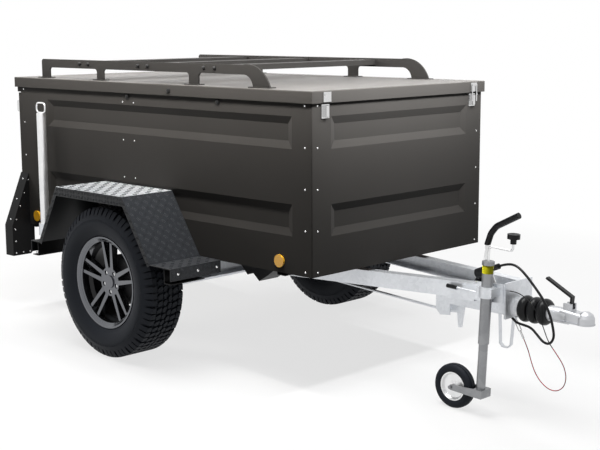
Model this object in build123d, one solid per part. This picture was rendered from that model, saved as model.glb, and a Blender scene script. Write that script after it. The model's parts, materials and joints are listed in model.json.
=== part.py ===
"""Off-road box trailer with a hinged lid, roof rack and V drawbar, parked on its jack wheel.

Everything is drawn in the trailer's own level frame: X forward from the face of the front wall,
Y to the left of the centre plane, Z up from the ground. At the end the trailer is pitched nose up
about its axle, as it stands, and moved so that the origin is the middle of its footprint.
"""
from build123d import *
import os
from math import atan2, cos, degrees, hypot, radians, sin, tan

# Stance: how far the winding jack holds the nose up, in degrees
NOSE_UP = 2.7

# Tyres: an air-filled ring with notched shoulders
TYRE_R = 367.5
TYRE_HALF = 120.0
TREAD_HALF = 98.0
TREAD_T = 24.0
TYRE_WALL = 13.0
SHOULDER_DROP = 18.0
SHOULDER_OUT = 4.0
CROWN_IN = 8.0
BEAD_OVER = 3.0
# Bends of a sidewall: share of its bulge past the rim, share of its height above the bead
SIDEWALL = ((0.88, 0.28), (1.0, 0.55))
NOTCHES = 22
NOTCH_W = 30.0
NOTCH_DEEP = 12.0
NOTCH_REACH = 38.0
NOTCH_FALL = 30.0

# Rims and brake drums
RIM_LIP_R = 224.0
RIM_LIP_T = 9.0
RIM_LIP_EDGE = 8.0
RIM_SEAT_R = 205.0
RIM_WELL_R = 190.0
RIM_SHEET = 6.0
RIM_HALF = 95.0
WELL_FROM = -44.0
WELL_TO = 28.0
WELL_FLANK = 14.0
HUB_R = 70.0
HUB_BACK = 22.0
HUB_FACE = 62.0
HUB_WEB = 8.0
HUB_CAP_R = 31.0
HUB_CAP_T = 6.0
SPOKE_PAIRS = 5
SPOKE_HUB_W = 27.0
SPOKE_RIM_W = 21.0
SPOKE_HUB_OFFSET = 17.0
SPOKE_RIM_OFFSET = 33.0
SPOKE_BACK = 40.0
SPOKE_RIM_FACE = 76.0
SPOKE_DRAFT = 5.0
SPOKE_ROOT = 14.0
LUG_CIRCLE_R = 50.0
LUG_HOLE_R = 11.0
LUG_HOLE_DEEP = 16.0
LUG_COUNT = 5
DRUM_R = 125.0
DRUM_DEEP = 92.0
DRUM_WALL = 12.0
DRUM_EDGE = 8.0
DRUM_FACE_T = 14.0
DRUM_BOSS_WALL = 24.0
DRUM_BOSS_BACK = 30.0
STUB_R = 20.0
STUB_SHORT = 12.0
RUN_FIT = 0.05
PLATE_GAP = 6.0
PLATE_T = 4.0

# Axle: rubber torsion beam with trailing arms
AXLE_X = -1139.0
ARM_L = 170.0
ARM_RISE = 12.5
ARM_T = 30.0
ARM_GAP = 8.0
ARM_END_R = 46.0
ARM_SLIM = 8.0
AXLE_SIDE = 80.0
AXLE_WALL = 6.0
AXLE_PLUG = 40.0

# Load box
BOX_L = 2233.0
BOX_W = 1205.0
WHEEL_GAP = 47.5
WALL_DROP = 36.0
WALL_H = 794.0
WALL_T = 30.0
CORNER_ROUND = 6.0
FLOOR_T = 12.0
GROOVE_DEEP = 13.0
GROOVE_FLANK = 34.0
GROOVE_H = 141.0
GROOVE_PAST = 1.0
GROOVE_RISES = (170.0, 552.0)
SIDE_GROOVE_FRONT = 118.0
SIDE_GROOVE_REAR = 283.0
END_GROOVE_MARGIN = 120.5
TAILGATE_T = 26.0
TAILGATE_GAP = 5.0
TAILGATE_SIDE_GAP = 6.0
TAILGATE_RISE = 12.0
HEADER_H = 68.0
HEADER_GAP = 6.0

# Lid
LID_RISE = 11.0
LID_SKIRT = 53.0
LID_OVER = 12.0
LID_SHEET = 3.0
LID_ROUND = 5.0

# Hinges of lid and tailgate
HINGE_Y = 400.0
HINGE_HALF = 50.0
KNUCKLE_R = 7.0
KNUCKLE_HALF = 20.0
KNUCKLE_GAP = 6.0
PIN_R = 4.0
LEAF_T = 3.0
LEAF_EDGE = 2.0
LEAF_TOP_GAP = 10.0
LEAF_LAP = 6.0
LID_AXIS_OUT = 8.0
LID_AXIS_DOWN = 6.0
GATE_AXIS_OUT = 9.0
GATE_STRAP_H = 116.0
GATE_LATCH_IN = 34.0
GATE_LATCH_HALF = 30.0
GATE_LATCH_DOWN = 48.0
GATE_LATCH_H = 62.0
GATE_LATCH_DEEP = 26.0
GATE_LATCH_ROUND = 10.0

# Under-frame: channel beams in a V, cross members on top of them
BEAM_H = 70.0
BEAM_FLANGE = 50.0
BEAM_T = 4.0
BEAM_FRONT_X = 647.0
BEAM_FRONT_Y = 99.0
BEAM_REAR_Y = 429.0
BEAM_PAST_AXLE = 60.0
CROSS_W = 50.0
CROSS_H = 58.0
CROSS_T = 4.0
CROSS_FRONT = 220.0
CROSS_FROM_AXLE = (379.0, -101.0, -421.0)
OUTRIGGER_H = 72.0
OUTRIGGER_W = 50.0
OUTRIGGER_T = 4.0
GUSSET_FROM = 70.0
GUSSET_L = 130.0

# Fenders of folded tread plate
FENDER_COVER = 15.0
FENDER_T = 3.0
FENDER_CLEAR = 75.0
FENDER_FLANGE = 58.0
# Bends past the tyre's front and rear edges: end of the top, foot of the slope, end of the shelf
FENDER_AHEAD = (-160.5, 36.5, 181.5)
FENDER_BEHIND = (-46.5, 118.5, 188.5)
SKIRT_TOP_W = 45.0
SKIRT_SLOPE_W = 22.0

# Lamp carriers, lamps and reflectors
CARRIER_REACH = 116.5
CARRIER_TUCK = 24.5
CARRIER_RISE = 283.0
CARRIER_DROP = 167.0
CARRIER_DEEP = 73.0
CARRIER_T = 3.0
CARRIER_ROUND = 28.0
LAMP_W = 92.0
LAMP_H = 130.0
LAMP_DEEP = 62.0
LAMP_LIFT = 95.0
LAMP_ROUND = 14.0
REFLECTOR_R = 29.0
REFLECTOR_T = 8.0
REFLECTOR_FRONT = 197.0
REFLECTOR_REAR = 147.0
REFLECTOR_RISE = 52.0

# Rear prop stands and their clamps
PROP_AHEAD = 288.0
PROP_OUT = 47.5
PROP_R = 24.0
PROP_WALL = 3.0
PROP_END_T = 10.0
PROP_RISE = 624.0
PROP_DROP = 72.0
PROP_SPIGOT_R = 15.0
PROP_SPIGOT_L = 49.0
PROP_FOOT_R = 56.0
PROP_FOOT_T = 6.0
PROP_LOOP_W = 86.0
PROP_LOOP_H = 58.0
PROP_LOOP_BEND = 20.0
PROP_WIRE_R = 4.5
CLAMP_DROP = 32.0
CLAMP_RISE = 33.0
CLAMP_WALL = 10.0
CLAMP_ARM_HALF = 26.0
CLAMP_SCREW_R = 6.0
CLAMP_SCREW_L = 62.0
CLAMP_KNOB_R = 15.0
CLAMP_KNOB_L = 14.0
CLAMP_BITE = 4.0

# Roof rack, cut from plate, with bars between the rails
RACK_IN = 45.5
RACK_T = 8.0
RACK_RISE = 100.0
RACK_BAR_H = 44.0
RACK_ROUND = 16.0
RACK_NOSE_BACK = 66.0
RACK_PAD_W = 46.0
RACK_PAD_T = 4.0
RACK_PAD_OVER = 12.0
# Feet of a rail: the end of the box they are measured from, distances to their rear and front edge
RACK_FEET = (("rear", 181.0, 254.0), ("rear", 672.0, 729.0), ("front", 840.0, 771.0), ("front", 403.0, 294.0))
CROSSBARS = 3
CROSSBAR_REAR = 562.0
CROSSBAR_FRONT = 695.0
CROSSBAR_W = 104.0
CROSSBAR_H = 26.0
CROSSBAR_T = 2.5
CROSSBAR_DROP = 8.0

# Lid latches on the front wall
LATCH_IN = 82.5
LATCH_DOWN = 108.0
LATCH_HALF = 24.0
LATCH_T = 3.0
LATCH_LEVER_HALF = 8.0
LATCH_LEVER_OUT = 14.0
LATCH_LEVER_ROUND = 6.0
LATCH_EDGE = 4.0
LATCH_GAP = 6.0
BAIL_R = 3.0
BAIL_HALF = 17.0
BAIL_RISE = 24.0
BAIL_DOWN = 18.0

# Overrun device and coupling
COUPLING_DROP = 32.0
HOUSING_L = 337.0
HOUSING_HALF = 36.0
HOUSING_HALF_H = 38.0
HOUSING_ROUND = 8.0
HEAD_PLATE_T = 8.0
HEAD_PLATE_OVER = 16.0
BOSS_R = 45.0
BOSS_L = 18.0
TUBE_R = 25.0
BELLOWS_L = 139.0
BELLOWS_PEAK_R = 58.0
BELLOWS_VALLEY_R = 41.0
BELLOWS_FOLDS = 3
# One fold of the bellows: share of its length, share of the way from valley to peak
BELLOWS_FOLD = ((0.18, 0.7), (0.4, 1.0), (0.6, 1.0), (0.82, 0.7), (1.0, 0.0))
SOCKET_R = 34.0
SOCKET_L = 93.0
BALL_AHEAD = 80.0
BALL_DROP = 4.0
BALL_R = 25.25
SEAT_RISE = 10.5
CUP_WALL = 11.75
CUP_LIP = 18.0
CUP_RIM_T = 5.0
CUP_RIM_OVER = 2.0
# Dome of the cup from its flank to its top: shares of the cup's radius outwards and up from the ball
CUP_DOME = ((0.8, 0.7), (0.43, 0.97), (0.0, 1.02))
THROAT_BACK = 30.0
THROAT_ROUND = 12.0
# Sections of the throat: width and height above the cup's rim, at its rear end and at the ball
THROAT = ((58.0, 54.0), (66.0, 44.0))
EAR_BACK = 18.0
EAR_AHEAD = 22.0
EAR_HALF = 20.0
EAR_FOOT = 20.0
EAR_SLOT = 34.0
EAR_TOP = 58.0
LEVER_W = 22.0
LEVER_T = 9.0
LEVER_RISE = 48.0
LEVER_CLIMB = 64.0
LEVER_REACH = 122.0

# Hand brake, brake linkage and guard strap
BRAKE_BACK = 169.0
BRAKE_CHEEK_IN = 14.0
BRAKE_CHEEK_T = 5.0
BRAKE_CHEEK_H = 79.0
BRAKE_CHEEK_FOOT = 66.0
BRAKE_CHEEK_HEAD = 29.0
BRAKE_PIVOT_DOWN = 20.0
BRAKE_PIVOT_R = 9.0
BRAKE_LEVER_T = 8.0
BRAKE_LEVER_H = 135.0
BRAKE_LEVER_FOOT = 19.0
BRAKE_LEVER_HEAD = 8.0
GRIP_R = 14.0
GRIP_BEND = 60.0
# Bends of the grip: forward of the lever's pivot, above its top
GRIP_LINE = ((6.0, 0.0), (24.0, 52.0), (52.0, 86.0), (168.0, 146.0))
ROD_R = 6.0
LINK_BACK = 48.0
LINK_DROP = 38.0
LINK_T = 6.0
LINK_INSET = 2.0
LINK_PIN_R = 10.0
LINK_TAIL = 30.0
LINK_HEAD_DOWN = 20.0
LINK_LOBE = 16.0
TONGUE_FROM = 16.0
TONGUE_W = 44.0
TONGUE_TIP_W = 16.0
TONGUE_H = 104.0
TONGUE_HALF = 5.0
STRAP_BACK = 29.0
STRAP_L = 78.0
STRAP_H = 160.0
STRAP_W = 20.0
STRAP_T = 4.0
STRAP_Y = 24.0
STRAP_LEAN = 12.0
STRAP_BEND = 16.0

# Jack wheel, upright while the trailer stands nose up
JACK_BACK = 55.0
JACK_OUT = 40.0
JACK_CLAMP_DOWN = 20.0
JACK_CLAMP_H = 48.0
JACK_CLAMP_WALL = 9.0
JACK_PLATE_T = 6.0
JACK_PLATE_BACK = 66.0
JACK_PLATE_AHEAD = 52.0
JACK_PLATE_OVER = 12.0
JACK_ARM_HALF = 40.0
JACK_ARM_H = 36.0
JACK_ARM_PAST = 22.0
JACK_HANDLE_R = 5.0
JACK_HANDLE_L = 106.0
JACK_HANDLE_OUT = 16.0
JACK_HANDLE_DOWN = 8.0
JACK_GRIP_R = 9.0
JACK_GRIP_L = 56.0
JACK_R = 24.0
JACK_LEG_R = 20.0
JACK_LEG_WALL = 4.0
JACK_LEG_PLUG = 60.0
JACK_LEG_PAST = 14.0
JACK_TUBE_DOWN = 228.0
JACK_TUBE_UP = 118.0
JACK_TUBE_TOP_T = 8.0
JACK_CAP_H = 16.0
JACK_CAP_OVER = 3.0
JACK_LEG_TOP = -60.0
JACK_TRAIL = 137.0
JACK_WHEEL_R = 100.0
JACK_WHEEL_HALF = 26.0
JACK_TREAD_DROP = 12.0
JACK_TREAD_HALF = 14.0
JACK_SEAT_HALF = 20.0
JACK_RIM_R = 64.0
JACK_RIM_EDGE = 5.0
JACK_RIM_FLANK = 7.0
JACK_WEB_HALF = 9.0
JACK_HUB_WALL = 14.0
JACK_PIN_R = 8.0
JACK_PIN_PAST = 6.0
FORK_GAP = 5.0
FORK_T = 5.0
FORK_H = 36.0
FORK_BACK = 18.0
FORK_FRONT = 8.0
FORK_END = 12.0
CRANK_R = 5.0
CRANK_UP = 64.0
CRANK_REACH = 119.0
CRANK_TIP = 30.0
CRANK_BEND = 12.0
KNOB_R = 27.0
KNOB_H = 20.0
KNOB_NECK_R = 13.0
KNOB_NECK_H = 22.0

# Plug park and breakaway hook
PLUG_Y = -45.0
PLUG_R = 18.0
PLUG_BACK = 6.0
PLUG_RISE = 13.0
PLUG_RUN = 108.0
PLUG_CLIMB = 46.0
PLUG_BODY_L = 70.0
PLUG_TAIL_R = 12.6
HOLDER_L = 34.0
HOLDER_WALL = 4.0
HOLDER_BACK_T = 6.0
HOLDER_LUG_BACK = 30.0
HOLDER_LUG_AHEAD = 14.0
HOLDER_LUG_H = 22.0
EYE_BACK = 11.0
EYE_DOWN = 14.0
EYE_HALF_T = 4.0
EYE_WALL = 5.0
HOOK_EYE_R = 6.0
HOOK_HANG = (53.0, -8.0, -80.0)
HOOK_WIRE_R = 2.5
HOOK_HALF = 10.0
HOOK_SLEEVE_R = 5.0
HOOK_SLEEVE_L = 38.0
REST_GAP = 0.3
POWER_R = 5.5
BREAKAWAY_R = 2.0
BEND_SHARE = 0.45

# Cord routes, on the standing trailer and from its final origin
POWER_ROUTE = (
    (1208.9, -45, 645.1), (1245.6, -46, 661.5), (1295.4, -50, 666.9), (1344.6, -57, 643.2),
    (1400.6, -66, 601.8), (1459.0, -74, 552.5), (1497.8, -76, 494.2), (1516.8, -72, 430.0),
    (1516.5, -66, 395.0), (1493.9, -57, 363.9), (1457.0, -47, 360.2), (1421.0, -38, 380.5),
    (1379.8, -30, 406.6), (1329.6, -26, 408.2), (1294.5, -24, 410.6), (1270.6, -20, 428.7))
BREAKAWAY_ROUTE = (
    (1288.2, -70, 554.4), (1322.6, -74, 558.0), (1368.1, -80, 548.2), (1414.4, -86, 520.3),
    (1454.4, -88, 480.2), (1480.8, -88, 429.4), (1503.1, -84, 380.4), (1541.2, -78, 338.1),
    (1575.3, -70, 293.7), (1587.6, -62, 244.2), (1574.8, -54, 197.5), (1541.2, -46, 167.9),
    (1497.5, -38, 159.8), (1450.7, -30, 175.7), (1411.1, -24, 209.8), (1381.7, -18, 258.5),
    (1360.6, -13, 303.6), (1332.1, -8, 341.8))

# Wheel chocks hung under the floor
CHOCK_AHEAD = 135.0
CHOCK_GAP = 25.0
CHOCK_L = 240.0
CHOCK_W = 120.0
CHOCK_H = 112.0
CHOCK_DOWN = 20.0
HANGER_L = 60.0
HANGER_W = 40.0
# Underside of a chock: share of its length from the rear, share of its height
CHOCK_LINE = ((0.0, 1.0), (0.0, 0.55), (0.17, 0.18), (0.33, 0.30), (0.5, 0.0), (0.71, 0.27), (1.0, 0.70),
              (1.0, 1.0))

# Heights, from the wheels up
BEAM_LOW = TYRE_R + ARM_RISE + AXLE_SIDE / 2
BEAM_TOP = BEAM_LOW + BEAM_H
FLOOR_LOW = BEAM_TOP + CROSS_H
FLOOR_Z = FLOOR_LOW + FLOOR_T
BOX_BOTTOM = FLOOR_LOW - WALL_DROP
WALL_TOP = BOX_BOTTOM + WALL_H
HEADER_BOTTOM = WALL_TOP - HEADER_H
TAILGATE_BOTTOM = BOX_BOTTOM + TAILGATE_RISE
LID_TOP = WALL_TOP + LID_RISE
SKIRT_EDGE = LID_TOP - LID_SKIRT
RACK_TOP = LID_TOP + RACK_RISE
FENDER_TOP = 2 * TYRE_R + FENDER_CLEAR
FENDER_SHELF = BOX_BOTTOM + FENDER_T
CARRIER_TOP = BOX_BOTTOM + CARRIER_RISE
CARRIER_BOTTOM = BOX_BOTTOM - CARRIER_DROP
CLAMP_LOW = BOX_BOTTOM - CLAMP_DROP
CLAMP_HIGH = BOX_BOTTOM + CLAMP_RISE
PROP_TOP = BOX_BOTTOM + PROP_RISE
PROP_TUBE_LOW = BOX_BOTTOM - PROP_DROP
LATCH_LOW = WALL_TOP - LATCH_DOWN
LID_AXIS_Z = SKIRT_EDGE - LID_AXIS_DOWN
GATE_AXIS_Z = BOX_BOTTOM
COUPLING_Z = BEAM_LOW - COUPLING_DROP
HOUSING_LOW = COUPLING_Z - HOUSING_HALF_H
HOUSING_HIGH = COUPLING_Z + HOUSING_HALF_H
BALL_Z = COUPLING_Z - BALL_DROP
CUP_RIM_Z = BALL_Z - CUP_LIP
BRAKE_CHEEK_TOP = HOUSING_HIGH + BRAKE_CHEEK_H
BRAKE_LEVER_TOP = BRAKE_CHEEK_TOP + BRAKE_LEVER_H
LINK_Z = HOUSING_LOW - LINK_DROP
STRAP_LOW = HOUSING_LOW - STRAP_H
JACK_CLAMP_Z = BEAM_TOP - JACK_CLAMP_DOWN

# Places along and across the trailer
HALF_W = BOX_W / 2
TRACK = BOX_W + 2 * (WHEEL_GAP + TYRE_HALF)
FENDER_OUT = TRACK / 2 + TYRE_HALF + FENDER_COVER
FENDER_FRONT_XS = [AXLE_X + TYRE_R + past for past in FENDER_AHEAD]
FENDER_REAR_XS = [AXLE_X - TYRE_R - past for past in FENDER_BEHIND]
FENDER_FRONT = FENDER_FRONT_XS[-1]
FENDER_REAR = FENDER_REAR_XS[-1]
CARRIER_OUT = HALF_W + CARRIER_REACH
CARRIER_IN = HALF_W - CARRIER_TUCK
PROP_X = PROP_AHEAD - BOX_L
PROP_Y = HALF_W + PROP_OUT
RACK_Y = HALF_W - RACK_IN
LATCH_Y = HALF_W - LATCH_IN
GATE_FACE = TAILGATE_T - BOX_L
WALL_END = GATE_FACE + TAILGATE_GAP
AXLE_BEAM_X = AXLE_X + ARM_L
BEAM_REAR_X = AXLE_BEAM_X - BEAM_PAST_AXLE
BEAM_SLOPE = (BEAM_REAR_Y - BEAM_FRONT_Y) / (BEAM_FRONT_X - BEAM_REAR_X)
CROSS_XS = [-CROSS_FRONT] + [AXLE_X + ahead for ahead in CROSS_FROM_AXLE] + [WALL_END + CROSS_W / 2]
CROSSBAR_STEP = (BOX_L - CROSSBAR_REAR - CROSSBAR_FRONT) / (CROSSBARS - 1)
CROSSBAR_XS = [-CROSSBAR_FRONT - CROSSBAR_STEP * bar for bar in range(CROSSBARS)]
LID_OUT = HALF_W + LID_OVER
LID_REAR = -BOX_L - LID_OVER
LID_AXIS_X = LID_REAR - LID_AXIS_OUT
GATE_AXIS_X = -BOX_L - GATE_AXIS_OUT
HOUSING_REAR = BEAM_FRONT_X - HOUSING_L
HEAD_X = BEAM_FRONT_X + HEAD_PLATE_T
BELLOWS_START = HEAD_X + BOSS_L
BELLOWS_END = BELLOWS_START + BELLOWS_L
SOCKET_END = BELLOWS_END + SOCKET_L
BALL_X = SOCKET_END + BALL_AHEAD
CUP_R = BALL_R + CUP_WALL
BRAKE_X = BEAM_FRONT_X - BRAKE_BACK
LINK_X = HOUSING_REAR - LINK_BACK
STRAP_FRONT = BEAM_FRONT_X - STRAP_BACK
STRAP_REAR = STRAP_FRONT - STRAP_L
HOOK_EYE = (BEAM_FRONT_X - EYE_BACK, 0.0, HOUSING_LOW - EYE_DOWN)
CHOCK_X = FENDER_FRONT + CHOCK_AHEAD
JACK_X = BEAM_FRONT_X - JACK_BACK
JACK_Y = -(BEAM_FRONT_Y + BEAM_SLOPE * JACK_BACK + JACK_OUT)
JACK_DROP = (TYRE_R + (JACK_CLAMP_Z - TYRE_R) * cos(radians(NOSE_UP))
             + (JACK_X - AXLE_X) * sin(radians(NOSE_UP)))

STANCE = Pos(AXLE_X, 0, TYRE_R) * Rot(0, -NOSE_UP, 0) * Pos(-AXLE_X, 0, -TYRE_R)
JACK_PLACE = Pos(JACK_X, JACK_Y, JACK_CLAMP_Z) * Rot(0, NOSE_UP, 0)
NODES = {}
CORDS = {}


def block(x, y, z):
    """A box from its three pairs of limits."""
    size = [max(pair) - min(pair) for pair in (x, y, z)]
    return Pos(*[sum(pair) / 2 for pair in (x, y, z)]) * Box(*size)


def about(middle, half):
    """The pair of limits at equal distance on both sides of a middle."""
    return middle - half, middle + half


def rod_x(x, y, z, r):
    """A cylinder along X between the two values of x."""
    return Pos(sum(x) / 2, y, z) * Rot(0, 90, 0) * Cylinder(r, abs(x[1] - x[0]))


def rod_y(x, y, z, r):
    """A cylinder along Y between the two values of y."""
    return Pos(x, sum(y) / 2, z) * Rot(90, 0, 0) * Cylinder(r, abs(y[1] - y[0]))


def rod_z(x, y, z, r):
    """A cylinder along Z between the two values of z."""
    return Pos(x, y, sum(z) / 2) * Cylinder(r, abs(z[1] - z[0]))


def slab_x(outline, x):
    """A flat piece: an outline of (y, z) points carried from one x to the other."""
    face = Face(Wire.make_polygon([(x[0], py, pz) for py, pz in outline]))
    return extrude(face, x[1] - x[0], dir=(1, 0, 0))


def slab_y(outline, y):
    """A flat piece: an outline of (x, z) points carried from one y to the other."""
    face = Face(Wire.make_polygon([(px, y[0], pz) for px, pz in outline]))
    return extrude(face, y[1] - y[0], dir=(0, 1, 0))


def slab_z(outline, z):
    """A flat piece: an outline of (x, y) points carried from one z to the other."""
    face = Face(Wire.make_polygon([(px, py, z[0]) for px, py in outline]))
    return extrude(face, z[1] - z[0], dir=(0, 0, 1))


def folded(line, widths):
    """Outline of a folded strip: the line's points, then the line moved right by each leg's width."""
    legs = []
    for (ax, az), (bx, bz), width in zip(line, line[1:], widths):
        length = hypot(bx - ax, bz - az)
        ux, uz = (bx - ax) / length, (bz - az) / length
        legs.append(((ax + uz * width, az - ux * width), (ux, uz)))
    inner = [legs[0][0]]
    for (p, u), (q, v) in zip(legs, legs[1:]):
        turn = u[0] * v[1] - u[1] * v[0]
        along = ((q[0] - p[0]) * v[1] - (q[1] - p[1]) * v[0]) / turn
        inner.append((p[0] + u[0] * along, p[1] + u[1] * along))
    (ax, az), (ux, uz) = legs[-1]
    length = hypot(line[-1][0] - line[-2][0], line[-1][1] - line[-2][1])
    inner.append((ax + ux * length, az + uz * length))
    return list(line) + inner[::-1]


def turned(outline, turn=360):
    """A turned ring: an outline of (along, radius) points spun round the Y axis, or part of a turn."""
    return revolve(Face(Wire.make_polygon([(0, along, radius) for along, radius in outline])), Axis.Y, turn)


def spun(outline):
    """A turned piece: an outline of (radius, z) points spun round the Z axis."""
    return revolve(Face(Wire.make_polygon([(radius, 0, z) for radius, z in outline])), Axis.Z)


def bent(path, r):
    """A round wire or bar along a path."""
    return sweep(Plane(origin=path @ 0, z_dir=path % 0) * Circle(r), path=path)


def both_sides(shape):
    """The piece drawn on the left, and its mirror image on the right."""
    return shape, mirror(shape, about=Plane.XZ)


def keep(name, *shapes):
    """Puts one or more solids in a node, at their place on the standing trailer."""
    solids = [solid for shape in shapes for solid in shape.solids()]
    NODES[name] = [STANCE * solid for solid in solids]


def keep_sides(name, shape):
    """Puts a piece of the left side in its own node, and its mirror image in the right side's."""
    for side, copy in zip(("left", "right"), both_sides(shape)):
        keep(f"{name}_{side}", copy)


def cord(name, route, r):
    """A cord along straight runs with tangent bends, kept apart from what moves with the stance."""
    points = [Vector(*point) for point in route]
    radii = []
    for before, here, after in zip(points, points[1:], points[2:]):
        turn = radians((here - before).get_angle(after - here))
        radii.append(BEND_SHARE * min((here - before).length, (after - here).length) / tan(turn / 2))
    print(name, "bend radii", [round(radius) for radius in radii])
    CORDS[name] = [bent(FilletPolyline(*points, radius=radii), r).solid()]


def beam_y(x):
    """Outer face of the left drawbar beam at a given x."""
    return BEAM_FRONT_Y + BEAM_SLOPE * (BEAM_FRONT_X - x)


# Road wheels, drawn with +Y outwards about their own centre
def tyre():
    lip, bead_r = RIM_HALF - RIM_LIP_T, RIM_LIP_R + BEAD_OVER
    belt_r, notch_in = TYRE_R - TREAD_T, TREAD_HALF - NOTCH_REACH
    bends = [(lip + (TYRE_HALF - lip) * out, bead_r + (TYRE_R - bead_r) * up) for out, up in SIDEWALL]
    half = [(0, belt_r), (notch_in, belt_r), (TYRE_HALF - TYRE_WALL, bends[-1][1]),
            (lip - TYRE_WALL, RIM_SEAT_R), (lip, RIM_SEAT_R), (lip, bead_r), *bends,
            (TREAD_HALF + SHOULDER_OUT, TYRE_R - SHOULDER_DROP), (TREAD_HALF - CROWN_IN, TYRE_R)]
    ring = turned(half + [(-along, r) for along, r in half[:0:-1]])
    floor, past = TYRE_R - NOTCH_DEEP, TYRE_R + NOTCH_DEEP
    notch = turned([(notch_in, past), (notch_in, floor), (TYRE_HALF, floor - NOTCH_FALL), (TYRE_HALF, past)],
                   degrees(NOTCH_W / TYRE_R))
    pitch = 360 / NOTCHES
    cuts = []
    for step in range(NOTCHES):
        cuts.append(Rot(0, pitch * step, 0) * notch)
        cuts.append(Rot(0, pitch * (step + 0.5), 0) * mirror(notch, about=Plane.XZ))
    return ring - cuts


def rim():
    lip = RIM_HALF - RIM_LIP_T
    seat_in, well_in = RIM_SEAT_R - RIM_SHEET, RIM_WELL_R - RIM_SHEET
    edge_r = RIM_LIP_R - RIM_LIP_EDGE
    well = (WELL_FROM - WELL_FLANK, WELL_FROM, WELL_TO, WELL_TO + WELL_FLANK)
    outside = zip(well, (RIM_SEAT_R, RIM_WELL_R, RIM_WELL_R, RIM_SEAT_R))
    inside = zip(well[::-1], (seat_in, well_in, well_in, seat_in))
    barrel = turned([(-RIM_HALF, RIM_LIP_R), (-lip, RIM_LIP_R), (-lip, RIM_SEAT_R), *outside,
                     (lip, RIM_SEAT_R), (lip, RIM_LIP_R), (RIM_HALF, RIM_LIP_R), (RIM_HALF, edge_r),
                     (lip - RIM_SHEET, seat_in), *inside, (RIM_SHEET - lip, seat_in), (-RIM_HALF, edge_r)])
    spokes = []
    root, tip = HUB_R - SPOKE_ROOT, RIM_SEAT_R
    for pair in range(SPOKE_PAIRS):
        for side in (1, -1):
            low = about(side * SPOKE_HUB_OFFSET, SPOKE_HUB_W / 2)
            high = about(side * SPOKE_RIM_OFFSET, SPOKE_RIM_W / 2)
            outline = [(low[0], root), (low[1], root), (high[1], tip), (high[0], tip)]
            face = Face(Wire.make_polygon([(x, SPOKE_BACK, z) for x, z in outline]))
            spoke = extrude(face, SPOKE_RIM_FACE - SPOKE_BACK, dir=(0, 1, 0), taper=SPOKE_DRAFT)
            spokes.append(Rot(0, 360 / SPOKE_PAIRS * pair, 0) * spoke)
    past = SPOKE_RIM_FACE + RIM_LIP_T
    dish = turned([(HUB_FACE, HUB_R - HUB_WEB), (SPOKE_RIM_FACE, RIM_SEAT_R), (past, RIM_SEAT_R), (past, 0),
                   (HUB_FACE, 0)])
    hub = rod_y(0, (HUB_BACK, HUB_FACE), 0, HUB_R)
    centre = (hub + spokes) & rod_y(0, (HUB_BACK, SPOKE_RIM_FACE), 0, RIM_SEAT_R - RIM_SHEET / 2)
    centre = centre - dish - rod_y(0, (HUB_BACK, HUB_FACE - HUB_WEB), 0, STUB_R + RUN_FIT)
    for lug in range(LUG_COUNT):
        angle = radians(360 / LUG_COUNT * (lug + 0.5))
        centre = centre - rod_y(LUG_CIRCLE_R * sin(angle), (HUB_FACE - LUG_HOLE_DEEP, HUB_FACE),
                                LUG_CIRCLE_R * cos(angle), LUG_HOLE_R)
    return barrel + centre + rod_y(0, (HUB_FACE - RIM_SHEET, HUB_FACE + HUB_CAP_T), 0, HUB_CAP_R)


def drum():
    back, face = HUB_BACK - DRUM_DEEP, HUB_BACK - DRUM_FACE_T
    bore, boss = STUB_R + RUN_FIT, STUB_R + DRUM_BOSS_WALL
    return turned([(HUB_BACK, bore), (HUB_BACK, DRUM_R - DRUM_EDGE), (HUB_BACK - DRUM_EDGE, DRUM_R),
                   (back, DRUM_R), (back, DRUM_R - DRUM_WALL), (face, DRUM_R - DRUM_WALL), (face, boss),
                   (back + DRUM_BOSS_BACK, boss), (back + DRUM_BOSS_BACK, bore)])


def swing_arm():
    """Trailing arm on the left with its stub axle and brake back plate, about the wheel's centre."""
    plate = HUB_BACK - DRUM_DEEP - PLATE_GAP
    y = (-RIM_HALF - ARM_GAP - ARM_T, -RIM_HALF - ARM_GAP)
    length = hypot(ARM_L, ARM_RISE)
    arm = rod_y(0, y, 0, ARM_END_R) + rod_y(length, y, 0, ARM_END_R)
    arm = arm + block((0, length), y, about(0, ARM_END_R - ARM_SLIM))
    arm = Rot(0, -degrees(atan2(ARM_RISE, ARM_L)), 0) * arm
    arm = arm + rod_y(0, (y[1], plate), 0, ARM_END_R - PLATE_T)
    arm = arm + rod_y(0, (plate - PLATE_T, plate), 0, DRUM_R - PLATE_T)
    return arm + rod_y(0, (plate, HUB_FACE - STUB_SHORT), 0, STUB_R)


def wheels_and_axle():
    place = Pos(AXLE_X, TRACK / 2, TYRE_R)
    for name, shape in (("tyre", tyre()), ("rim", rim()), ("drum", drum())):
        keep_sides(name, place * shape)
    keep("swing_arms", *both_sides(place * swing_arm()))
    end = TRACK / 2 - RIM_HALF - ARM_GAP - ARM_T
    half, z = AXLE_SIDE / 2, BEAM_LOW - AXLE_SIDE / 2
    beam = block(about(AXLE_BEAM_X, half), about(0, end), about(z, half))
    bore = half - AXLE_WALL
    keep("axle_beam", beam - block(about(AXLE_BEAM_X, bore), about(0, end - AXLE_PLUG), about(z, bore)))


# Load box: floor, walls with pressed grooves, rear header
def groove(along, z_low, lay):
    """Cutter for a pressed groove with sloping flanks over a range; lay maps (along, depth, z) to a point."""
    faces = []
    for depth in (-GROOVE_PAST, GROOVE_DEEP):
        inset = GROOVE_FLANK * depth / GROOVE_DEEP
        low, high = min(along) + inset, max(along) - inset
        z0, z1 = z_low + inset, z_low + GROOVE_H - inset
        faces.append(Face(Wire.make_polygon([lay(low, depth, z0), lay(high, depth, z0),
                                             lay(high, depth, z1), lay(low, depth, z1)])))
    return loft(faces, ruled=True)


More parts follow.
